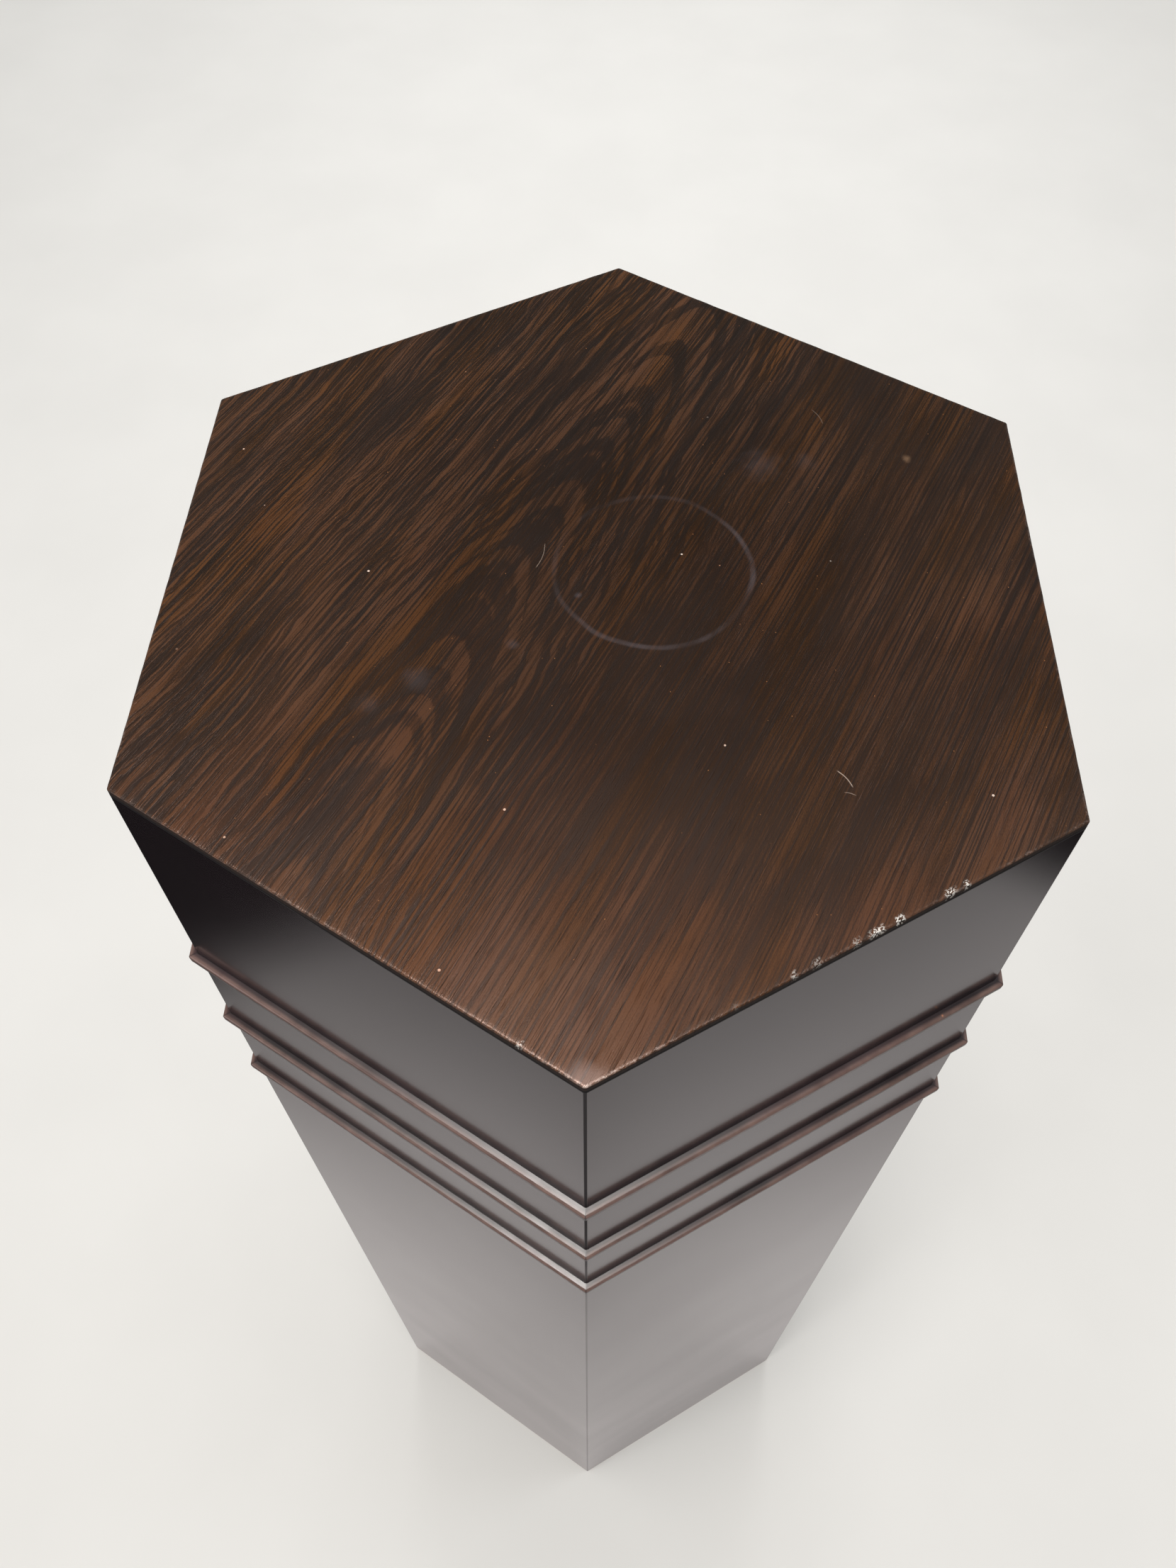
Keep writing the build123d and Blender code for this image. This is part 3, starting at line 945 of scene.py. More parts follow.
@dataclass(frozen=True)
class DarkLacquer:
    """Near-black brown sprayed lacquer on the outside of a panel, bare board inside, with a painted
    dark reflection down each corner and a painted shadow just under the top.
    """

    body: TaperedHexagon
    deep: Colour = linear(29, 23, 26)
    lift: Colour = linear(37, 30, 33)
    # painted dark reflection down the corner arris, and painted shadow just under the top
    corner: Colour = linear(5, 4, 5)
    rubbed: Colour = linear(92, 66, 54)
    gloss_tint: Colour = (1.0, 0.95, 0.99, 1.0)
    coat_mm: Pair = (0.7, 0.9)
    dark_reflection_rise_mm: Pair = (950.0, 1090.0)
    under_top_shadow_mm: Pair = (1196.3, 1197.2)
    core: BareBoard = field(default_factory=BareBoard)

    def build(self) -> Material:
        """Write the whole finish."""
        sketch = Sketch("dark_lacquer")
        x, y, z = sketch.xyz
        face = sketch.face_distance_mm()
        foot = self.body.face_radius(0.0) / MM
        fall = self.body.slope * math.cos(math.pi / SIDES)
        outside = sketch.fused(z, -fall, foot)
        behind = sketch.minus(outside, face)
        corner = sketch.corner_distance_mm(outside)
        cloud = sketch.noise(scale=0.006, detail=3.0)
        colour = sketch.blend(sketch.step(cloud, 0.35, 0.7), self.deep, self.lift)
        rub = sketch.noise(sketch.stretched(x, y, z, (0.16, 0.16, 0.02)), detail=4.0, rough=0.65)
        near = sketch.step(corner, 0.6, 1.8, 1.0, 0.0)
        edge = sketch.times(near, sketch.step(rub, 0.52, 0.7, 0.0, 0.3))
        colour = sketch.blend(edge, colour, self.rubbed)
        # painted dark reflection along the corner arris, full near the top and faint lower down
        near = sketch.step(corner, 0.45, 0.95, 1.0, 0.0)
        tip = sketch.times(near, sketch.step(z, *self.dark_reflection_rise_mm, 0.12, 1.0))
        # painted shadow in a line just under the top
        tip = sketch.math("MAXIMUM", tip, sketch.step(z, *self.under_top_shadow_mm))
        colour = sketch.blend(tip, colour, self.corner)
        bare = sketch.step(behind, *self.coat_mm)
        colour = sketch.blend(bare, colour, self.core.colour(sketch))
        rough = sketch.step(cloud, 0.3, 0.75, 0.13, 0.16)
        rough = sketch.fused(bare, 0.6, rough)
        rough = sketch.fused(tip, 0.8, rough, clamp=True)
        peel = sketch.noise(scale=0.35)
        return sketch.finish(
            colour, rough, peel, 0.0000006, IOR=1.47, Specular_Tint=self.gloss_tint
        )


@dataclass(frozen=True)
class RubbedStrip:
    """Brown-black lacquer on the strips, rubbed to copper along the outer edge, where a painted
    highlight and painted glints lie too, with painted shade in the crease at the panel.
    """

    base: Colour = linear(64, 48, 49)
    deep: Colour = linear(34, 26, 28)
    # rubbed-edge colour, also a painted highlight on the rounded arris
    copper: Colour = linear(146, 116, 106)
    bright: Colour = linear(206, 140, 96)
    arris_out_mm: float = 2.8 - 0.75
    arris_up_mm: float = -0.6

    def build(self) -> Material:
        """Write the whole finish."""
        sketch = Sketch("rubbed_strip")
        x, y, z = sketch.xyz
        out, up, along = sketch.parts(sketch.attribute("section").outputs["Vector"])
        lengthwise = sketch.noise(sketch.stretched(x, y, z, (0.03, 0.03, 0.3)))
        colour = sketch.blend(sketch.step(lengthwise, 0.35, 0.7), self.deep, self.base)
        # rubbed along the outer edge, partly a painted highlight on the rounded arris
        reach = sketch.distance(out, up, self.arris_out_mm, self.arris_up_mm)
        arris = sketch.step(reach, 0.3, 1.5, 1.0, 0.0)
        patch = sketch.noise(scale=0.11, detail=4.0, rough=0.65)
        worn_and_highlight = sketch.times(arris, sketch.step(patch, 0.3, 0.75, 0.3, 0.6))
        colour = sketch.blend(worn_and_highlight, colour, self.copper)
        # painted glints: bright spots on the arris
        spot = sketch.step(sketch.noise(scale=0.2), 0.76, 0.82)
        colour = sketch.blend(sketch.times(spot, arris), colour, self.bright)
        # painted shade in the crease where the strip meets the panel
        painted_crease_shade = sketch.step(out, 0.05, 0.4, 0.8, 0.0)
        colour = sketch.blend(painted_crease_shade, colour, self.deep)
        mitre = sketch.step(sketch.math("ABSOLUTE", along), 0.0, 0.35, 0.85, 0.0)
        colour = sketch.blend(mitre, colour, self.deep)
        rough = sketch.step(patch, 0.3, 0.7, 0.28, 0.36)
        relief = sketch.noise(sketch.stretched(x, y, z, (0.3, 0.3, 1.4)))
        return sketch.finish(colour, rough, relief, 0.000004, IOR=1.5)


@dataclass(frozen=True)
class Softwood:
    """Planed pine of the corner battens."""

    pale: Colour = linear(206, 170, 118)
    band: Colour = linear(170, 122, 74)

    def build(self) -> Material:
        """Write the whole finish."""
        sketch = Sketch("planed_pine")
        x, y, z = sketch.xyz
        rings = sketch.noise(sketch.stretched(x, y, z, (0.16, 0.16, 0.006)), detail=3.0)
        fibre = sketch.noise(sketch.stretched(x, y, z, (1.4, 1.4, 0.03)), detail=3.0, rough=0.6)
        share = sketch.plus(sketch.times(rings, 0.6), sketch.times(fibre, 0.4))
        colour = sketch.ramp(share, ((0.38, self.band), (0.6, self.pale)))
        return sketch.finish(colour, 0.62, fibre, 0.00004, Specular_IOR_Level=0.3)


@dataclass(frozen=True)
class PlatedSteel:
    """Zinc-plated steel with a fine turned grain and dull patches."""

    name: str
    bright: Colour
    dull: Colour
    rough_low: float
    rough_high: float

    def build(self) -> Material:
        """Write the whole finish."""
        sketch = Sketch(self.name)
        x, y, z = sketch.xyz
        patch = sketch.noise(scale=0.3, detail=4.0, rough=0.6)
        turned = sketch.noise(sketch.stretched(x, y, z, (0.6, 0.6, 9.0)))
        colour = sketch.blend(sketch.step(patch, 0.35, 0.7), self.bright, self.dull)
        rough = sketch.step(patch, 0.3, 0.7, self.rough_low, self.rough_high)
        return sketch.finish(colour, rough, turned, 0.00001, Metallic=1.0)


@dataclass(frozen=True)
class MouldedPlastic:
    """Black moulded plastic of the foot pads, greyed where it drags."""

    deep: Colour = linear(22, 22, 24)
    scuffed: Colour = linear(92, 92, 94)

    def build(self) -> Material:
        """Write the whole finish."""
        sketch = Sketch("moulded_plastic")
        _, _, z = sketch.xyz
        grain = sketch.noise(scale=2.2, detail=3.0, rough=0.6)
        low = sketch.step(z, 0.1, 1.6, 1.0, 0.0)
        drag = sketch.times(low, sketch.step(grain, 0.42, 0.66, 0.05, 0.75))
        colour = sketch.blend(drag, self.deep, self.scuffed)
        rough = sketch.step(grain, 0.3, 0.7, 0.42, 0.6)
        return sketch.finish(colour, rough, grain, 0.00003, IOR=1.46)


@dataclass(frozen=True)
class PaleFloor:
    """Even pale floor with the faintest mottling."""

    light: Colour = linear(236, 235, 232)
    shade: Colour = linear(233, 232, 229)

    def build(self) -> Material:
        """Write the whole finish."""
        sketch = Sketch("pale_floor")
        cloud = sketch.noise(scale=0.004, detail=3.0)
        grain = sketch.noise(scale=0.6, detail=3.0)
        colour = sketch.ramp(cloud, ((0.35, self.shade), (0.65, self.light)))
        return sketch.finish(colour, 0.6, grain, 0.00003, Specular_IOR_Level=0.3)


# --------------------------------------------------------------------------
# Studio
# --------------------------------------------------------------------------


@dataclass(frozen=True)
class Lamp:
    """One soft light panel."""

    name: str
    place: Triple
    aim: Triple
    width: float
    watts: float
    colour: Triple = (1.0, 1.0, 1.0)
    in_gloss: bool = True


@dataclass
class Studio:
    """Floor, lights and camera.

    The cards lie just above the floor and only reflections see them: painted
    dark reflections at both sides and, more softly, painted shade all round the
    foot; they also tint what the panels reflect slightly towards purple.
    """

    floor_radius: float = 9.0
    floor_level: float = -0.0001
    lens_mm: float = 26.446
    eye: Triple = (0.00434, -0.22427, 1.46452)
    tilt_deg: Triple = (30.8711, -0.571, 1.8434)
    shift: Pair = (-0.01078, -0.0045)
    card_left: float = -0.55
    card_right: float = 0.86
    card_fade: float = 0.28
    card_fade_right: float = 0.18
    card_half: float = 3.5
    card_level: float = 0.0005
    # painted reflection tint: what the panels reflect through the cards turns slightly purple
    card_tint: Colour = (0.92, 0.885, 0.905, 1.0)
    card_black: Colour = (0.01, 0.01, 0.01, 1.0)
    # painted shade in the reflections, farther out than a ring round the foot, lighter on the right
    pool_start_mm: float = 260.0
    pool_reach: float = 0.75
    pool_depth: float = 0.5
    pool_right_mm: Pair = (150.0, 550.0)
    pool_right_share: float = 0.65
    horizon: Pair = (0.12, 0.5)
    sky_tint: Colour = (1.0, 0.99, 0.97, 1.0)
    sky: float = 0.55
    sky_in_gloss: float = 0.06
    horizon_in_gloss: float = 0.55
    lamps: tuple[Lamp, ...] = (
        Lamp(
            "overhead_panel", (-0.14, -0.25, 2.9), (-0.05, -0.15, 1.2), 0.5, 28.0, (1.0, 0.96, 0.92)
        ),
        Lamp("left_panel", (-2.4, -1.4, 2.1), (0.0, 0.1, 0.4), 1.1, 14.0),
        Lamp("right_panel", (1.9, 0.5, 3.0), (0.1, 0.0, 1.0), 1.0, 6.0, (0.86, 0.93, 1.0)),
        Lamp("back_panel", (0.0, 2.7, 2.8), (0.0, 3.0, 0.0), 1.6, 36.0, (1.0, 1.0, 1.0), False),
    )

    def build_floor(self) -> None:
        """Lay the floor."""
        work = bmesh.new()
        bmesh.ops.create_circle(work, cap_ends=True, radius=self.floor_radius, segments=96)
        for vertex in work.verts:
            vertex.co.z = self.floor_level
        floor = put("floor", closed_mesh("floor", work))
        floor.data.materials.append(PaleFloor().build())

    def build_cards(self) -> None:
        """Lay the dark cards, painted dark reflections and painted shade that only reflections see,
        so that the panels keep their depth.
        """
        card = Sketch("dark_card")
        x, y, _ = card.xyz
        left = card.step(x, (self.card_left - self.card_fade) / MM, self.card_left / MM, 1.0, 0.0)
        right = card.step(x, self.card_right / MM, (self.card_right + self.card_fade_right) / MM)
        away = card.reach(card.point(x, y))
        # painted shade in what the panels reflect, farther out from the foot
        painted_shade_pool = card.step(away, self.pool_start_mm, self.pool_reach / MM, 0.0, self.pool_depth)
        painted_shade_pool = card.times(painted_shade_pool, card.step(x, *self.pool_right_mm, 1.0, self.pool_right_share))
        fade = card.math("MAXIMUM", painted_shade_pool, card.math("MAXIMUM", left, right))
        clear = card.result("ShaderNodeBsdfTransparent", {"Color": self.card_tint})
        black = card.result("ShaderNodeBsdfDiffuse", {"Color": self.card_black})
        mix = card.result("ShaderNodeMixShader", {0: fade, 1: clear, 2: black})
        card.add("ShaderNodeOutputMaterial", {0: mix})
        work = bmesh.new()
        bmesh.ops.create_grid(work, x_segments=1, y_segments=1, size=self.card_half)
        bmesh.ops.translate(work, verts=work.verts, vec=(0.0, 0.0, self.card_level))
        cards = put("dark_cards", closed_mesh("dark_cards", work))
        cards.data.materials.append(card.material)
        cards.visible_camera = cards.visible_diffuse = False
        cards.visible_shadow = cards.visible_transmission = False

    def build_lights(self) -> None:
        """Hang the light panels and set the even light all round."""
        for lamp in self.lamps:
            light = bpy.data.lights.new(lamp.name, "AREA")
            light.shape = "SQUARE"
            light.size = lamp.width
            light.energy = lamp.watts
            light.color = lamp.colour
            holder = put(lamp.name, light)
            holder.location = lamp.place
            holder.visible_glossy = lamp.in_gloss
            aim = Vector(lamp.aim) - Vector(lamp.place)
            holder.rotation_euler = aim.to_track_quat("-Z", "Y").to_euler()
        world = bpy.data.worlds.new("studio")
        world.use_nodes = True
        sky = Graph(world.node_tree)
        _, _, rise = sky.parts(sky.add("ShaderNodeTexCoord").outputs["Generated"])
        glow = sky.step(rise, *self.horizon, self.horizon_in_gloss, self.sky_in_gloss)
        in_gloss = sky.add("ShaderNodeLightPath").outputs["Is Glossy Ray"]
        level = sky.step(in_gloss, 0.0, 1.0, self.sky, glow, smooth=False)
        air = sky.result("ShaderNodeBackground", {"Color": self.sky_tint, "Strength": level})
        sky.add("ShaderNodeOutputWorld", {0: air})
        bpy.context.scene.world = world

    def build_camera(self) -> None:
        """Set the camera at eye height in front of the plinth, looking down on it."""
        data = bpy.data.cameras.new("eye")
        data.lens = self.lens_mm
        data.sensor_width = 36.0
        data.shift_x, data.shift_y = self.shift
        data.clip_start, data.clip_end = 0.01, 100.0
        data.dof.use_dof = False
        camera = put("eye", data)
        camera.location = self.eye
        camera.rotation_euler = [math.radians(turn) for turn in self.tilt_deg]
        bpy.context.scene.camera = camera

    def build(self) -> None:
        """Set up everything round the plinth."""
        self.build_camera()
        self.build_floor()
        self.build_cards()
        self.build_lights()
        bpy.context.scene.view_settings.view_transform = "Standard"
        LOG.info("studio: floor, %d lights and camera", len(self.lamps))


# --------------------------------------------------------------------------
# Sub-assemblies
# --------------------------------------------------------------------------


def dress_nodes(prefixes: Sequence[str], material: Material) -> int:
    """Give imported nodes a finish.

    Args:
        prefixes: How their names start.
        material: The finish.

    Returns:
        How many nodes took it.
    """
    count = 0
    for name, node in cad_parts.items():
        if name.startswith(tuple(prefixes)):
            for each in node.material_slots:
                each.material = material
            count += 1
    return count


@dataclass(frozen=True)
class Chip:
    """A bite out of the top's edge: which face, how far along it, how long and how deep."""

    face: Face
    along: float
    length: float
    depth: float


@dataclass
class TopSheet:
    """Veneered sheet on the top, its edge softened, rubbed and chipped, with a painted highlight on
    the rubbed edge at the front corner.
    """

    body: TaperedHexagon
    corner_round: float = 0.00129
    arris: float = 0.0006
    step: float = 0.0012
    crease: float = 50.0
    softening: float = 0.00016
    softened_to: float = 0.0011
    inner_rows: tuple[float, ...] = (0.0011, 0.0022, 0.006)
    least_rise: float = 0.0002
    least_bend: float = 0.00005
    ripples: float = 240.0
    rags: float = 1400.0
    bare_from: float = 0.0001
    bare_over: float = 0.0004
    # reach of the rub and painted highlight round the front corner
    corner_rub_and_highlight: float = 0.026
    chips: tuple[Chip, ...] = (
        Chip(Face.FRONT_RIGHT, 0.0076, 0.0052, 0.0011),
        Chip(Face.FRONT_RIGHT, 0.0145, 0.0026, 0.0008),
        Chip(Face.FRONT_RIGHT, 0.0012, 0.0022, 0.0006),
        Chip(Face.FRONT_RIGHT, 0.0301, 0.0034, 0.0009),
        Chip(Face.FRONT_RIGHT, 0.0352, 0.0016, 0.0006),
        Chip(Face.FRONT_RIGHT, -0.0105, 0.0024, 0.0006),
        Chip(Face.FRONT_RIGHT, -0.0172, 0.0013, 0.0004),
        Chip(Face.FRONT_RIGHT, -0.034, 0.0012, 0.0004),
        Chip(Face.FRONT_LEFT, 0.056, 0.0018, 0.0005),
        Chip(Face.FRONT_LEFT, 0.064, 0.0012, 0.0004),
    )

    def outline(self, inset: float) -> list[tuple[Vector, Vector]]:
        """Points round the sheet, each with its outward direction.

        Args:
            inset: How far inside the sheet's edge the line runs.

        Returns:
            The points, anticlockwise from the front-right of the right face.
        """
        low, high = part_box("top_sheet")
        reach = (high.x - low.x) / 2 - inset
        bend = max(self.corner_round - inset, self.least_bend)
        half = reach * math.tan(math.pi / SIDES) - bend * math.tan(math.pi / SIDES)
        steps = int((high.x - low.x) / 2 * CORNER_TO_FACE / self.step)
        points: list[tuple[Vector, Vector]] = []
        for face in Face:
            for number in range(steps + 1):
                along = half * (2 * number / steps - 1)
                points.append((face.outwards * reach + face.sideways * along, face.outwards))
            centre = face.outwards * (reach - bend) + face.sideways * half
            for number in range(1, 6):
                turn = math.radians(face.value + 60.0 * number / 6)
                away = Vector((math.cos(turn), math.sin(turn), 0.0))
                points.append((centre + away * bend, away))
        return points

    def bite(self, place: Vector) -> float:
        """Depth of the chips at a place on the edge."""
        deepest = 0.0
        for chip in self.chips:
            if place.dot(chip.face.outwards) < 0.99 * self.body.face_radius(self.body.height):
                continue
            off = (place.dot(chip.face.sideways) - chip.along) / (chip.length / 2)
            if abs(off) < 1.0:
                rag = 0.55 + 0.9 * noise.noise(place * self.rags)
                deepest = max(deepest, chip.depth * (1 - off * off) * max(rag, 0.15))
        return deepest

    def rub_and_highlight(self, place: Vector) -> float:
        """How much the edge is rubbed at a place, with a painted highlight: most at the front
        corner, and a little more towards the front.
        """
        corner = Vector((0.0, -self.body.top_radius, place.z))
        front = max(0.0, 1.0 - (place - corner).length / self.corner_rub_and_highlight)
        near = max(0.0, -place.y / self.body.top_radius - 0.35)
        return min(1.0, 0.04 + 0.85 * front + 0.12 * near + 0.25 * noise.noise(place * 60.0))

    def build(self) -> Piece:
        """Make the sheet's mesh with its rub and painted highlight stored on it.

        Returns:
            The finished piece.
        """
        low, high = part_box("top_sheet")
        profile = [(0.0, low.z)]
        for number in range(5):
            turn = math.radians(22.5 * number)
            inset = self.arris * (1 - math.cos(turn))
            profile.append((inset, high.z - self.arris * (1 - math.sin(turn))))
        profile += [(inset, high.z) for inset in self.inner_rows]
        work = bmesh.new()
        rub_and_highlight = work.verts.layers.float.new("rub_and_highlight")
        chip = work.verts.layers.float.new("chip")
        rings: list[list[bmesh.types.BMVert]] = []
        outer = self.outline(0.0)
        for row, (inset, level) in enumerate(profile):
            ring: list[bmesh.types.BMVert] = []
            lowest = low.z + self.least_rise * min(row, 1)
            fading = max(0.0, 1 - inset / self.softened_to)
            steep = 0.75 if row > 2 else 0.35
            for (place, away), (edge, _) in zip(self.outline(inset), outer):
                bitten = self.bite(edge) if 0 < row < 7 else 0.0
                ripple = 0.5 + 0.5 * noise.noise(edge * self.ripples)
                soft = self.softening * ripple if 0 < row < 6 else 0.0
                inwards = max(0.0, bitten - inset * 0.8) + soft * fading
                drop = max(0.0, bitten - inset * 0.55) * steep
                drop += soft * 0.4 if row in (3, 4, 5) else 0.0
                seat = place - away * inwards
                seat.z = max(level - drop, lowest)
                vertex = work.verts.new(seat)
                # the rub carries a painted highlight, most at the front corner
                rub = self.rub_and_highlight(edge)
                vertex[rub_and_highlight] = rub if row in (4, 5) else (0.35 * rub if row == 3 else 0.0)
                vertex[chip] = max(0.0, min(1.0, (bitten - self.bare_from) / self.bare_over))
                ring.append(vertex)
            rings.append(ring)
        count = len(rings[0])
        for lower, upper in zip(rings, rings[1:]):
            for number in range(count):
                after = (number + 1) % count
                work.faces.new((lower[number], lower[after], upper[after], upper[number]))
        for ring, level in ((rings[0], low.z), (rings[-1], high.z)):
            hub = work.verts.new((0.0, 0.0, level))
            for number in range(count):
                work.faces.new((ring[number], ring[(number + 1) % count], hub))
        mesh = closed_mesh("veneered_top", work)
        piece = finished_piece("veneered_top", mesh, self.crease)
        piece.data.materials.append(DarkVeneer().build())
        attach(piece, "carcass")
        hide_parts("top_sheet")
        return piece


@dataclass
class SidePanels:
    """The six leaning panels."""

    body: TaperedHexagon

    def dress(self) -> None:
        """Lacquer the panels."""
        count = dress_nodes(["side_panel_"], DarkLacquer(self.body).build())
        LOG.info("side panels: %d lacquered", count)


@dataclass
class StripRows:
    """Three rows of six mitred strips, let into the panels."""

    body: TaperedHexagon
    rows: int = 3
    let_in: float = 0.003
    top_round: float = 0.001
    under_round: float = 0.0005
    mitre_gap: float = 0.00003
    setback: float = 0.0002
    spans: int = 40
    rub_from: float = 0.0016
    rub_depth: float = 0.00018

    def recipe(self, material: Material) -> Recipe:
        """Tree that sweeps one strip, mitres its ends and sets six of them round the body.

        Args:
            material: What the strips are dressed in.

        Returns:
            The recipe, with inputs for the row's level and reach.
        """
        recipe = Recipe("mitred_strips")
        reach, top, proud, height = (
            recipe.size(n) for n in ("Face Reach", "Top Level", "Proud", "Height")
        )
        width = recipe.plus(proud, self.let_in)
        section = recipe.result(
            "GeometryNodeCurvePrimitiveQuadrilateral", {"Width": width, "Height": height}
        )
        middle = recipe.minus(recipe.math("DIVIDE", width, 2.0), self.let_in)
        section = recipe.shift(section, recipe.point(middle, recipe.math("DIVIDE", height, 2.0)))
        across, down, _ = recipe.place()
        outer = recipe.math("GREATER_THAN", across, 0.0)
        upper = recipe.math("LESS_THAN", down, 0.001)
        bend = recipe.fused(upper, self.top_round - self.under_round, self.under_round)
        bend = recipe.times(bend, outer)
        rounded = recipe.result(
            "GeometryNodeFilletCurve", {"Curve": section, "Count": 5, "Radius": bend}, mode="POLY"
        )
        run = recipe.result(
            "GeometryNodeCurvePrimitiveLine", {"Start": (0.0, -1.0, 0.0), "End": (0.0, 1.0, 0.0)}
        )
        run = recipe.result("GeometryNodeResampleCurve", {"Curve": run, "Count": self.spans + 1})
        swept = recipe.result(
            "GeometryNodeCurveToMesh", {"Curve": run, "Profile Curve": rounded, "Fill Caps": True}
        )
        out, share, depth = recipe.place()
        reach_here = recipe.plus(reach, out)
        half = recipe.minus(recipe.times(reach_here, math.tan(math.pi / SIDES)), self.mitre_gap)
        corner = recipe.math("DIVIDE", recipe.plus(reach, proud), math.cos(math.pi / SIDES))
        corner = recipe.math("POWER", recipe.minus(corner, self.setback), 2.0)
        tip = recipe.minus(corner, recipe.math("POWER", reach_here, 2.0))
        tip = recipe.math("SQRT", recipe.math("MAXIMUM", tip, 0.0))
        half = recipe.math("MINIMUM", half, tip)
        along = recipe.times(half, share)
        end = recipe.minus(recipe.math("ABSOLUTE", along), half)
        section_mm = recipe.point(*(recipe.times(length, 1000.0) for length in (out, depth, end)))
        stored = recipe.result(
            "GeometryNodeStoreNamedAttribute",
            {"Geometry": swept, "Name": "section", "Value": section_mm},
            data_type="FLOAT_VECTOR",
            domain="POINT",
        )
        where = recipe.point(out, along, reach)
        wander = recipe.result(
            "ShaderNodeTexNoise", {"Vector": where, "Scale": 90.0, "Detail": 2.0}
        )
        outermost = recipe.math("GREATER_THAN", out, self.rub_from)
        reached = recipe.minus(reach_here, recipe.times(outermost, wander, self.rub_depth))
        placed = recipe.move(stored, recipe.point(reached, along, recipe.plus(top, depth)))
        return recipe.close(recipe.six(placed, 0.0, 0.0), material)

    def build(self) -> list[Piece]:
        """Make the three rows.

        Returns:
            One piece for each row.
        """
        material = RubbedStrip().build()
        recipe = self.recipe(material)
        made: list[Piece] = []
        for row in range(1, self.rows + 1):
            low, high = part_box(f"band_{row}_right")
            reach = self.body.face_radius(high.z)
            piece = recipe.make(
                f"strip_row_{row}",
                CREASE,
                Face_Reach=reach,
                Top_Level=high.z,
                Proud=high.x - reach,
                Height=high.z - low.z,
            )
            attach(piece, "carcass")
            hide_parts(*(f"band_{row}_{face.label}" for face in Face))
            made.append(piece)
        return made


@dataclass
class InnerFrame:
    """Boards, bulkheads and battens inside the panels."""

    def dress(self) -> None:
        """Give each its own timber."""
        boards = dress_nodes(["top_board", "bottom_board", "bulkhead_"], BareBoard().build())
        battens = dress_nodes(["corner_batten_"], Softwood().build())
        LOG.info("inner frame: %d boards, %d battens", boards, battens)


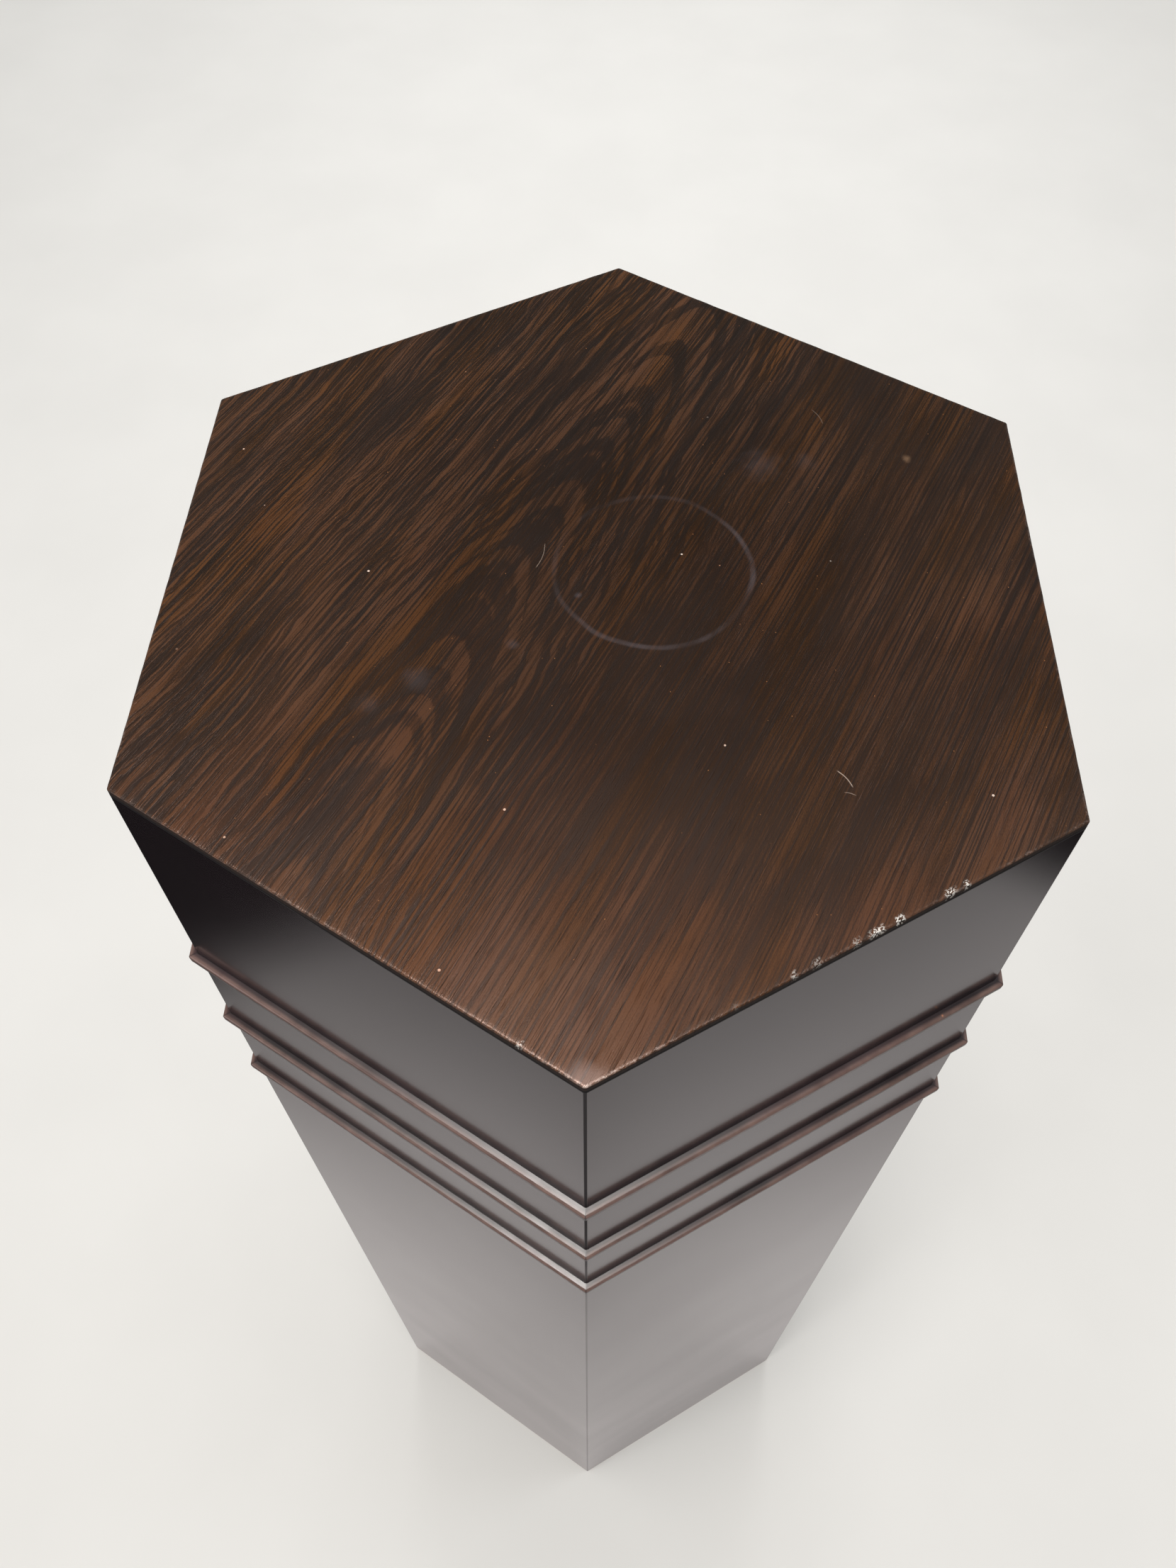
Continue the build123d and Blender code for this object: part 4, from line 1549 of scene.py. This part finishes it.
@dataclass
class Fixings:
    """Countersunk screws in both end boards, and the threaded inserts of the feet.

    Lengths are in millimetres.
    """

    head: float = 4.0
    shank: float = 2.0
    length: float = 45.0
    point: float = 5.0
    tip: float = 0.4
    plain: float = 12.0
    recess_arm: float = 2.2
    recess_half_width: float = 0.45
    recess_depth: float = 1.6
    flange: float = 12.0
    sleeve: float = 6.0
    bore: float = 4.22
    bore_mouth: float = 4.6
    sleeve_top: float = 16.5
    flange_top: float = 1.5
    around: int = 32
    first_corner: float = math.radians(30.0)

    def screws(self, material: Material) -> Recipe:
        """Tree for a ring of six cross-head screws.

        Args:
            material: What they are dressed in.

        Returns:
            The recipe, with inputs for the ring's radius, the heads' level and
            which way up they stand: 1 for heads up, -1 for heads down.
        """
        recipe = Recipe("screw_ring")
        ring, level, upright = (recipe.size(n) for n in ("Ring Radius", "Head Level", "Upright"))
        outline = (
            (0.0, -self.length),
            (self.tip, -self.length),
            (self.shank, self.point - self.length),
            (self.shank, -self.plain),
            (self.shank, self.shank - self.head),
            (self.head - 0.05, -0.12),
            (self.head - 0.12, 0.0),
            (self.recess_arm, 0.0),
            (self.recess_arm * 0.85, -self.recess_depth),
            (0.0, -self.recess_depth),
        )
        arm, half = self.recess_arm * MM, self.recess_half_width * MM
        recess = Limit(7, 8, lambda r, turn: cross_reach(r, turn, arm, half))
        thread = Ridges(first=2, last=3, depth=0.6, pitch=1.8, rows=92)
        screw = recipe.turned(outline, self.around, thread, recess)
        where, flip = recipe.point(0.0, 0.0, level), recipe.point(1.0, 1.0, upright)
        stood = recipe.result(
            "GeometryNodeTransform", {"Geometry": screw, "Translation": where, "Scale": flip}
        )
        return recipe.close(recipe.six(stood, ring, self.first_corner), material)

    def inserts(self, material: Material) -> Recipe:
        """Tree for the six flanged sleeves with a thread inside.

        Args:
            material: What they are dressed in.

        Returns:
            The recipe, with inputs for the ring's radius and the flanges' underside.
        """
        recipe = Recipe("threaded_inserts")
        ring, level = (recipe.size(n) for n in ("Ring Radius", "Flange Level"))
        outline = (
            (self.bore_mouth, 0.0),
            (self.flange - 0.4, 0.0),
            (self.flange, 0.4),
            (self.flange, self.flange_top - 0.4),
            (self.flange - 0.4, self.flange_top),
            (self.sleeve, self.flange_top),
            (self.sleeve, self.sleeve_top - 0.4),
            (self.sleeve - 0.4, self.sleeve_top),
            (self.bore_mouth, self.sleeve_top),
            (self.bore, self.sleeve_top - 0.4),
            (self.bore, 0.4),
            (self.bore_mouth, 0.0),
        )
        thread = Ridges(first=9, last=10, depth=-0.35, pitch=1.25, rows=74)
        sleeve = recipe.turned(outline, self.around, thread)
        stood = recipe.shift(sleeve, recipe.point(0.0, 0.0, level))
        return recipe.close(recipe.six(stood, ring, self.first_corner), material)

    def ring_of(self, node: str, half_width: float) -> float:
        """Radius in metres of a ring of six, each of this half width, from its node's box."""
        _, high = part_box(node)
        return high.y - half_width * MM

    def keep(self, piece: Piece, node: str) -> None:
        """Let a finished piece stand for its node on the body."""
        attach(piece, "carcass")
        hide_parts(node)

    def build(self) -> None:
        """Make the two screw rings and the inserts."""
        steel = PlatedSteel(
            "zinc_plate", linear(206, 204, 196), linear(150, 148, 140), 0.24, 0.42
        ).build()
        screws = self.screws(steel)
        _, top_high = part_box("top_board_screws")
        low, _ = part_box("bottom_board_screws")
        for board, level, upright in (
            ("top_board", top_high.z, 1.0), ("bottom_board", low.z, -1.0)
        ):
            node = f"{board}_screws"
            reach = self.ring_of(node, self.head)
            piece = screws.make(
                f"screws_{board}", CREASE, Ring_Radius=reach, Head_Level=level, Upright=upright
            )
            self.keep(piece, node)
        flange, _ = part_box("foot_inserts")
        reach = self.ring_of("foot_inserts", self.flange)
        piece = self.inserts(steel).make(
            "inserts", CREASE, Ring_Radius=reach, Flange_Level=flange.z
        )
        self.keep(piece, "foot_inserts")


@dataclass
class LevellingFeet:
    """Six screw-in feet, each a threaded stem with a hexagon collar in a ribbed pad.

    Lengths are in millimetres above the floor.
    """

    stem: float = 4.0
    collar: float = 7.6
    collar_half_flats: float = 6.5
    collar_low: float = 8.0
    collar_high: float = 12.0
    stem_low: float = 3.0
    stem_high: float = 58.0
    pad: float = 16.0
    ribs: int = 40
    around: int = 24

    def place(self, recipe: Recipe, shape: Socket) -> Socket:
        """Stand a shape at one corner of the body, by the recipe's own inputs."""
        reach, azimuth, level = (recipe.size(n) for n in ("Reach", "Azimuth", "Level"))
        where = recipe.point(*recipe.polar(reach, azimuth), level)
        way = recipe.point(0.0, 0.0, azimuth)
        return recipe.result(
            "GeometryNodeTransform", {"Geometry": shape, "Translation": where, "Rotation": way}
        )

    def stem_recipe(self, material: Material) -> Recipe:
        """Tree for one threaded stem with its collar."""
        recipe = Recipe("threaded_stem")
        thread_low = self.collar_high + 1.0
        thread_high = self.stem_high - 0.8
        outline = (
            (0.0, self.stem_low),
            (self.stem - 0.02, self.stem_low),
            (self.stem - 0.02, self.collar_low),
            (self.collar - 0.8, self.collar_low),
            (self.collar, self.collar_low + 0.4),
            (self.collar, self.collar_high - 0.4),
            (self.collar - 0.8, self.collar_high),
            (self.stem, self.collar_high),
            (self.stem, thread_low),
            (self.stem, thread_high),
            (self.stem - 0.8, self.stem_high),
            (0.0, self.stem_high),
        )
        half = self.collar_half_flats * MM
        flats = Limit(3, 6, lambda r, turn: hexagon_reach(r, turn, half))
        thread = Ridges(first=8, last=9, depth=0.6, pitch=1.25, rows=211)
        shape = recipe.turned(outline, self.around, thread, flats)
        return recipe.close(self.place(recipe, shape), material)

    def pad_recipe(self, material: Material) -> Recipe:
        """Tree for one ribbed pad with the socket that the stem sits in."""
        recipe = Recipe("ribbed_pad")
        outline = (
            (0.0, 0.0),
            (self.pad - 1.3, 0.0),
            (self.pad - 0.4, 0.35),
            (self.pad, 1.2),
            (self.pad, self.collar_low - 1.2),
            (self.pad - 0.4, self.collar_low - 0.35),
            (self.pad - 1.3, self.collar_low),
            (self.stem, self.collar_low),
            (self.stem, self.stem_low),
            (0.0, self.stem_low),
        )
        grip = Ridges(first=3, last=4, depth=0.45, count=self.ribs)
        shape = recipe.turned(outline, self.ribs * 4, grip)
        return recipe.close(self.place(recipe, shape), material)

    def build(self) -> None:
        """Make a stem and a pad for each corner."""
        steel = PlatedSteel(
            "foot_steel", linear(188, 190, 192), linear(132, 134, 138), 0.22, 0.4
        ).build()
        stems = self.stem_recipe(steel)
        pads = self.pad_recipe(MouldedPlastic().build())
        for corner in Corner:
            low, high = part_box(f"foot_pad_{corner.label}")
            reach = ((low + high) / 2).to_2d().length
            for recipe, part, slot in (
                (stems, "stem", Slot.FOOT_STEEL), (pads, "pad", Slot.FOOT_PLASTIC)
            ):
                turn = math.radians(corner.value)
                piece = recipe.make(
                    f"{part}_{corner.label}", CREASE, Reach=reach, Azimuth=turn, Level=low.z
                )
                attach(piece, f"foot_{corner.label}")
                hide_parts(f"foot_{part}_{corner.label}")


def main() -> None:
    """Build the plinth's looks in order, and report each part."""
    logging.basicConfig(level=logging.INFO, format="%(name)s: %(message)s")
    body = TaperedHexagon.from_frame()
    LOG.info(
        "body %.4f high, corner radius %.4f to %.4f", body.height, body.foot_radius, body.top_radius
    )
    Studio().build()
    TopSheet(body).build()
    SidePanels(body).dress()
    StripRows(body).build()
    InnerFrame().dress()
    Fixings().build()
    LevellingFeet().build()


if __name__ == "__main__":
    main()
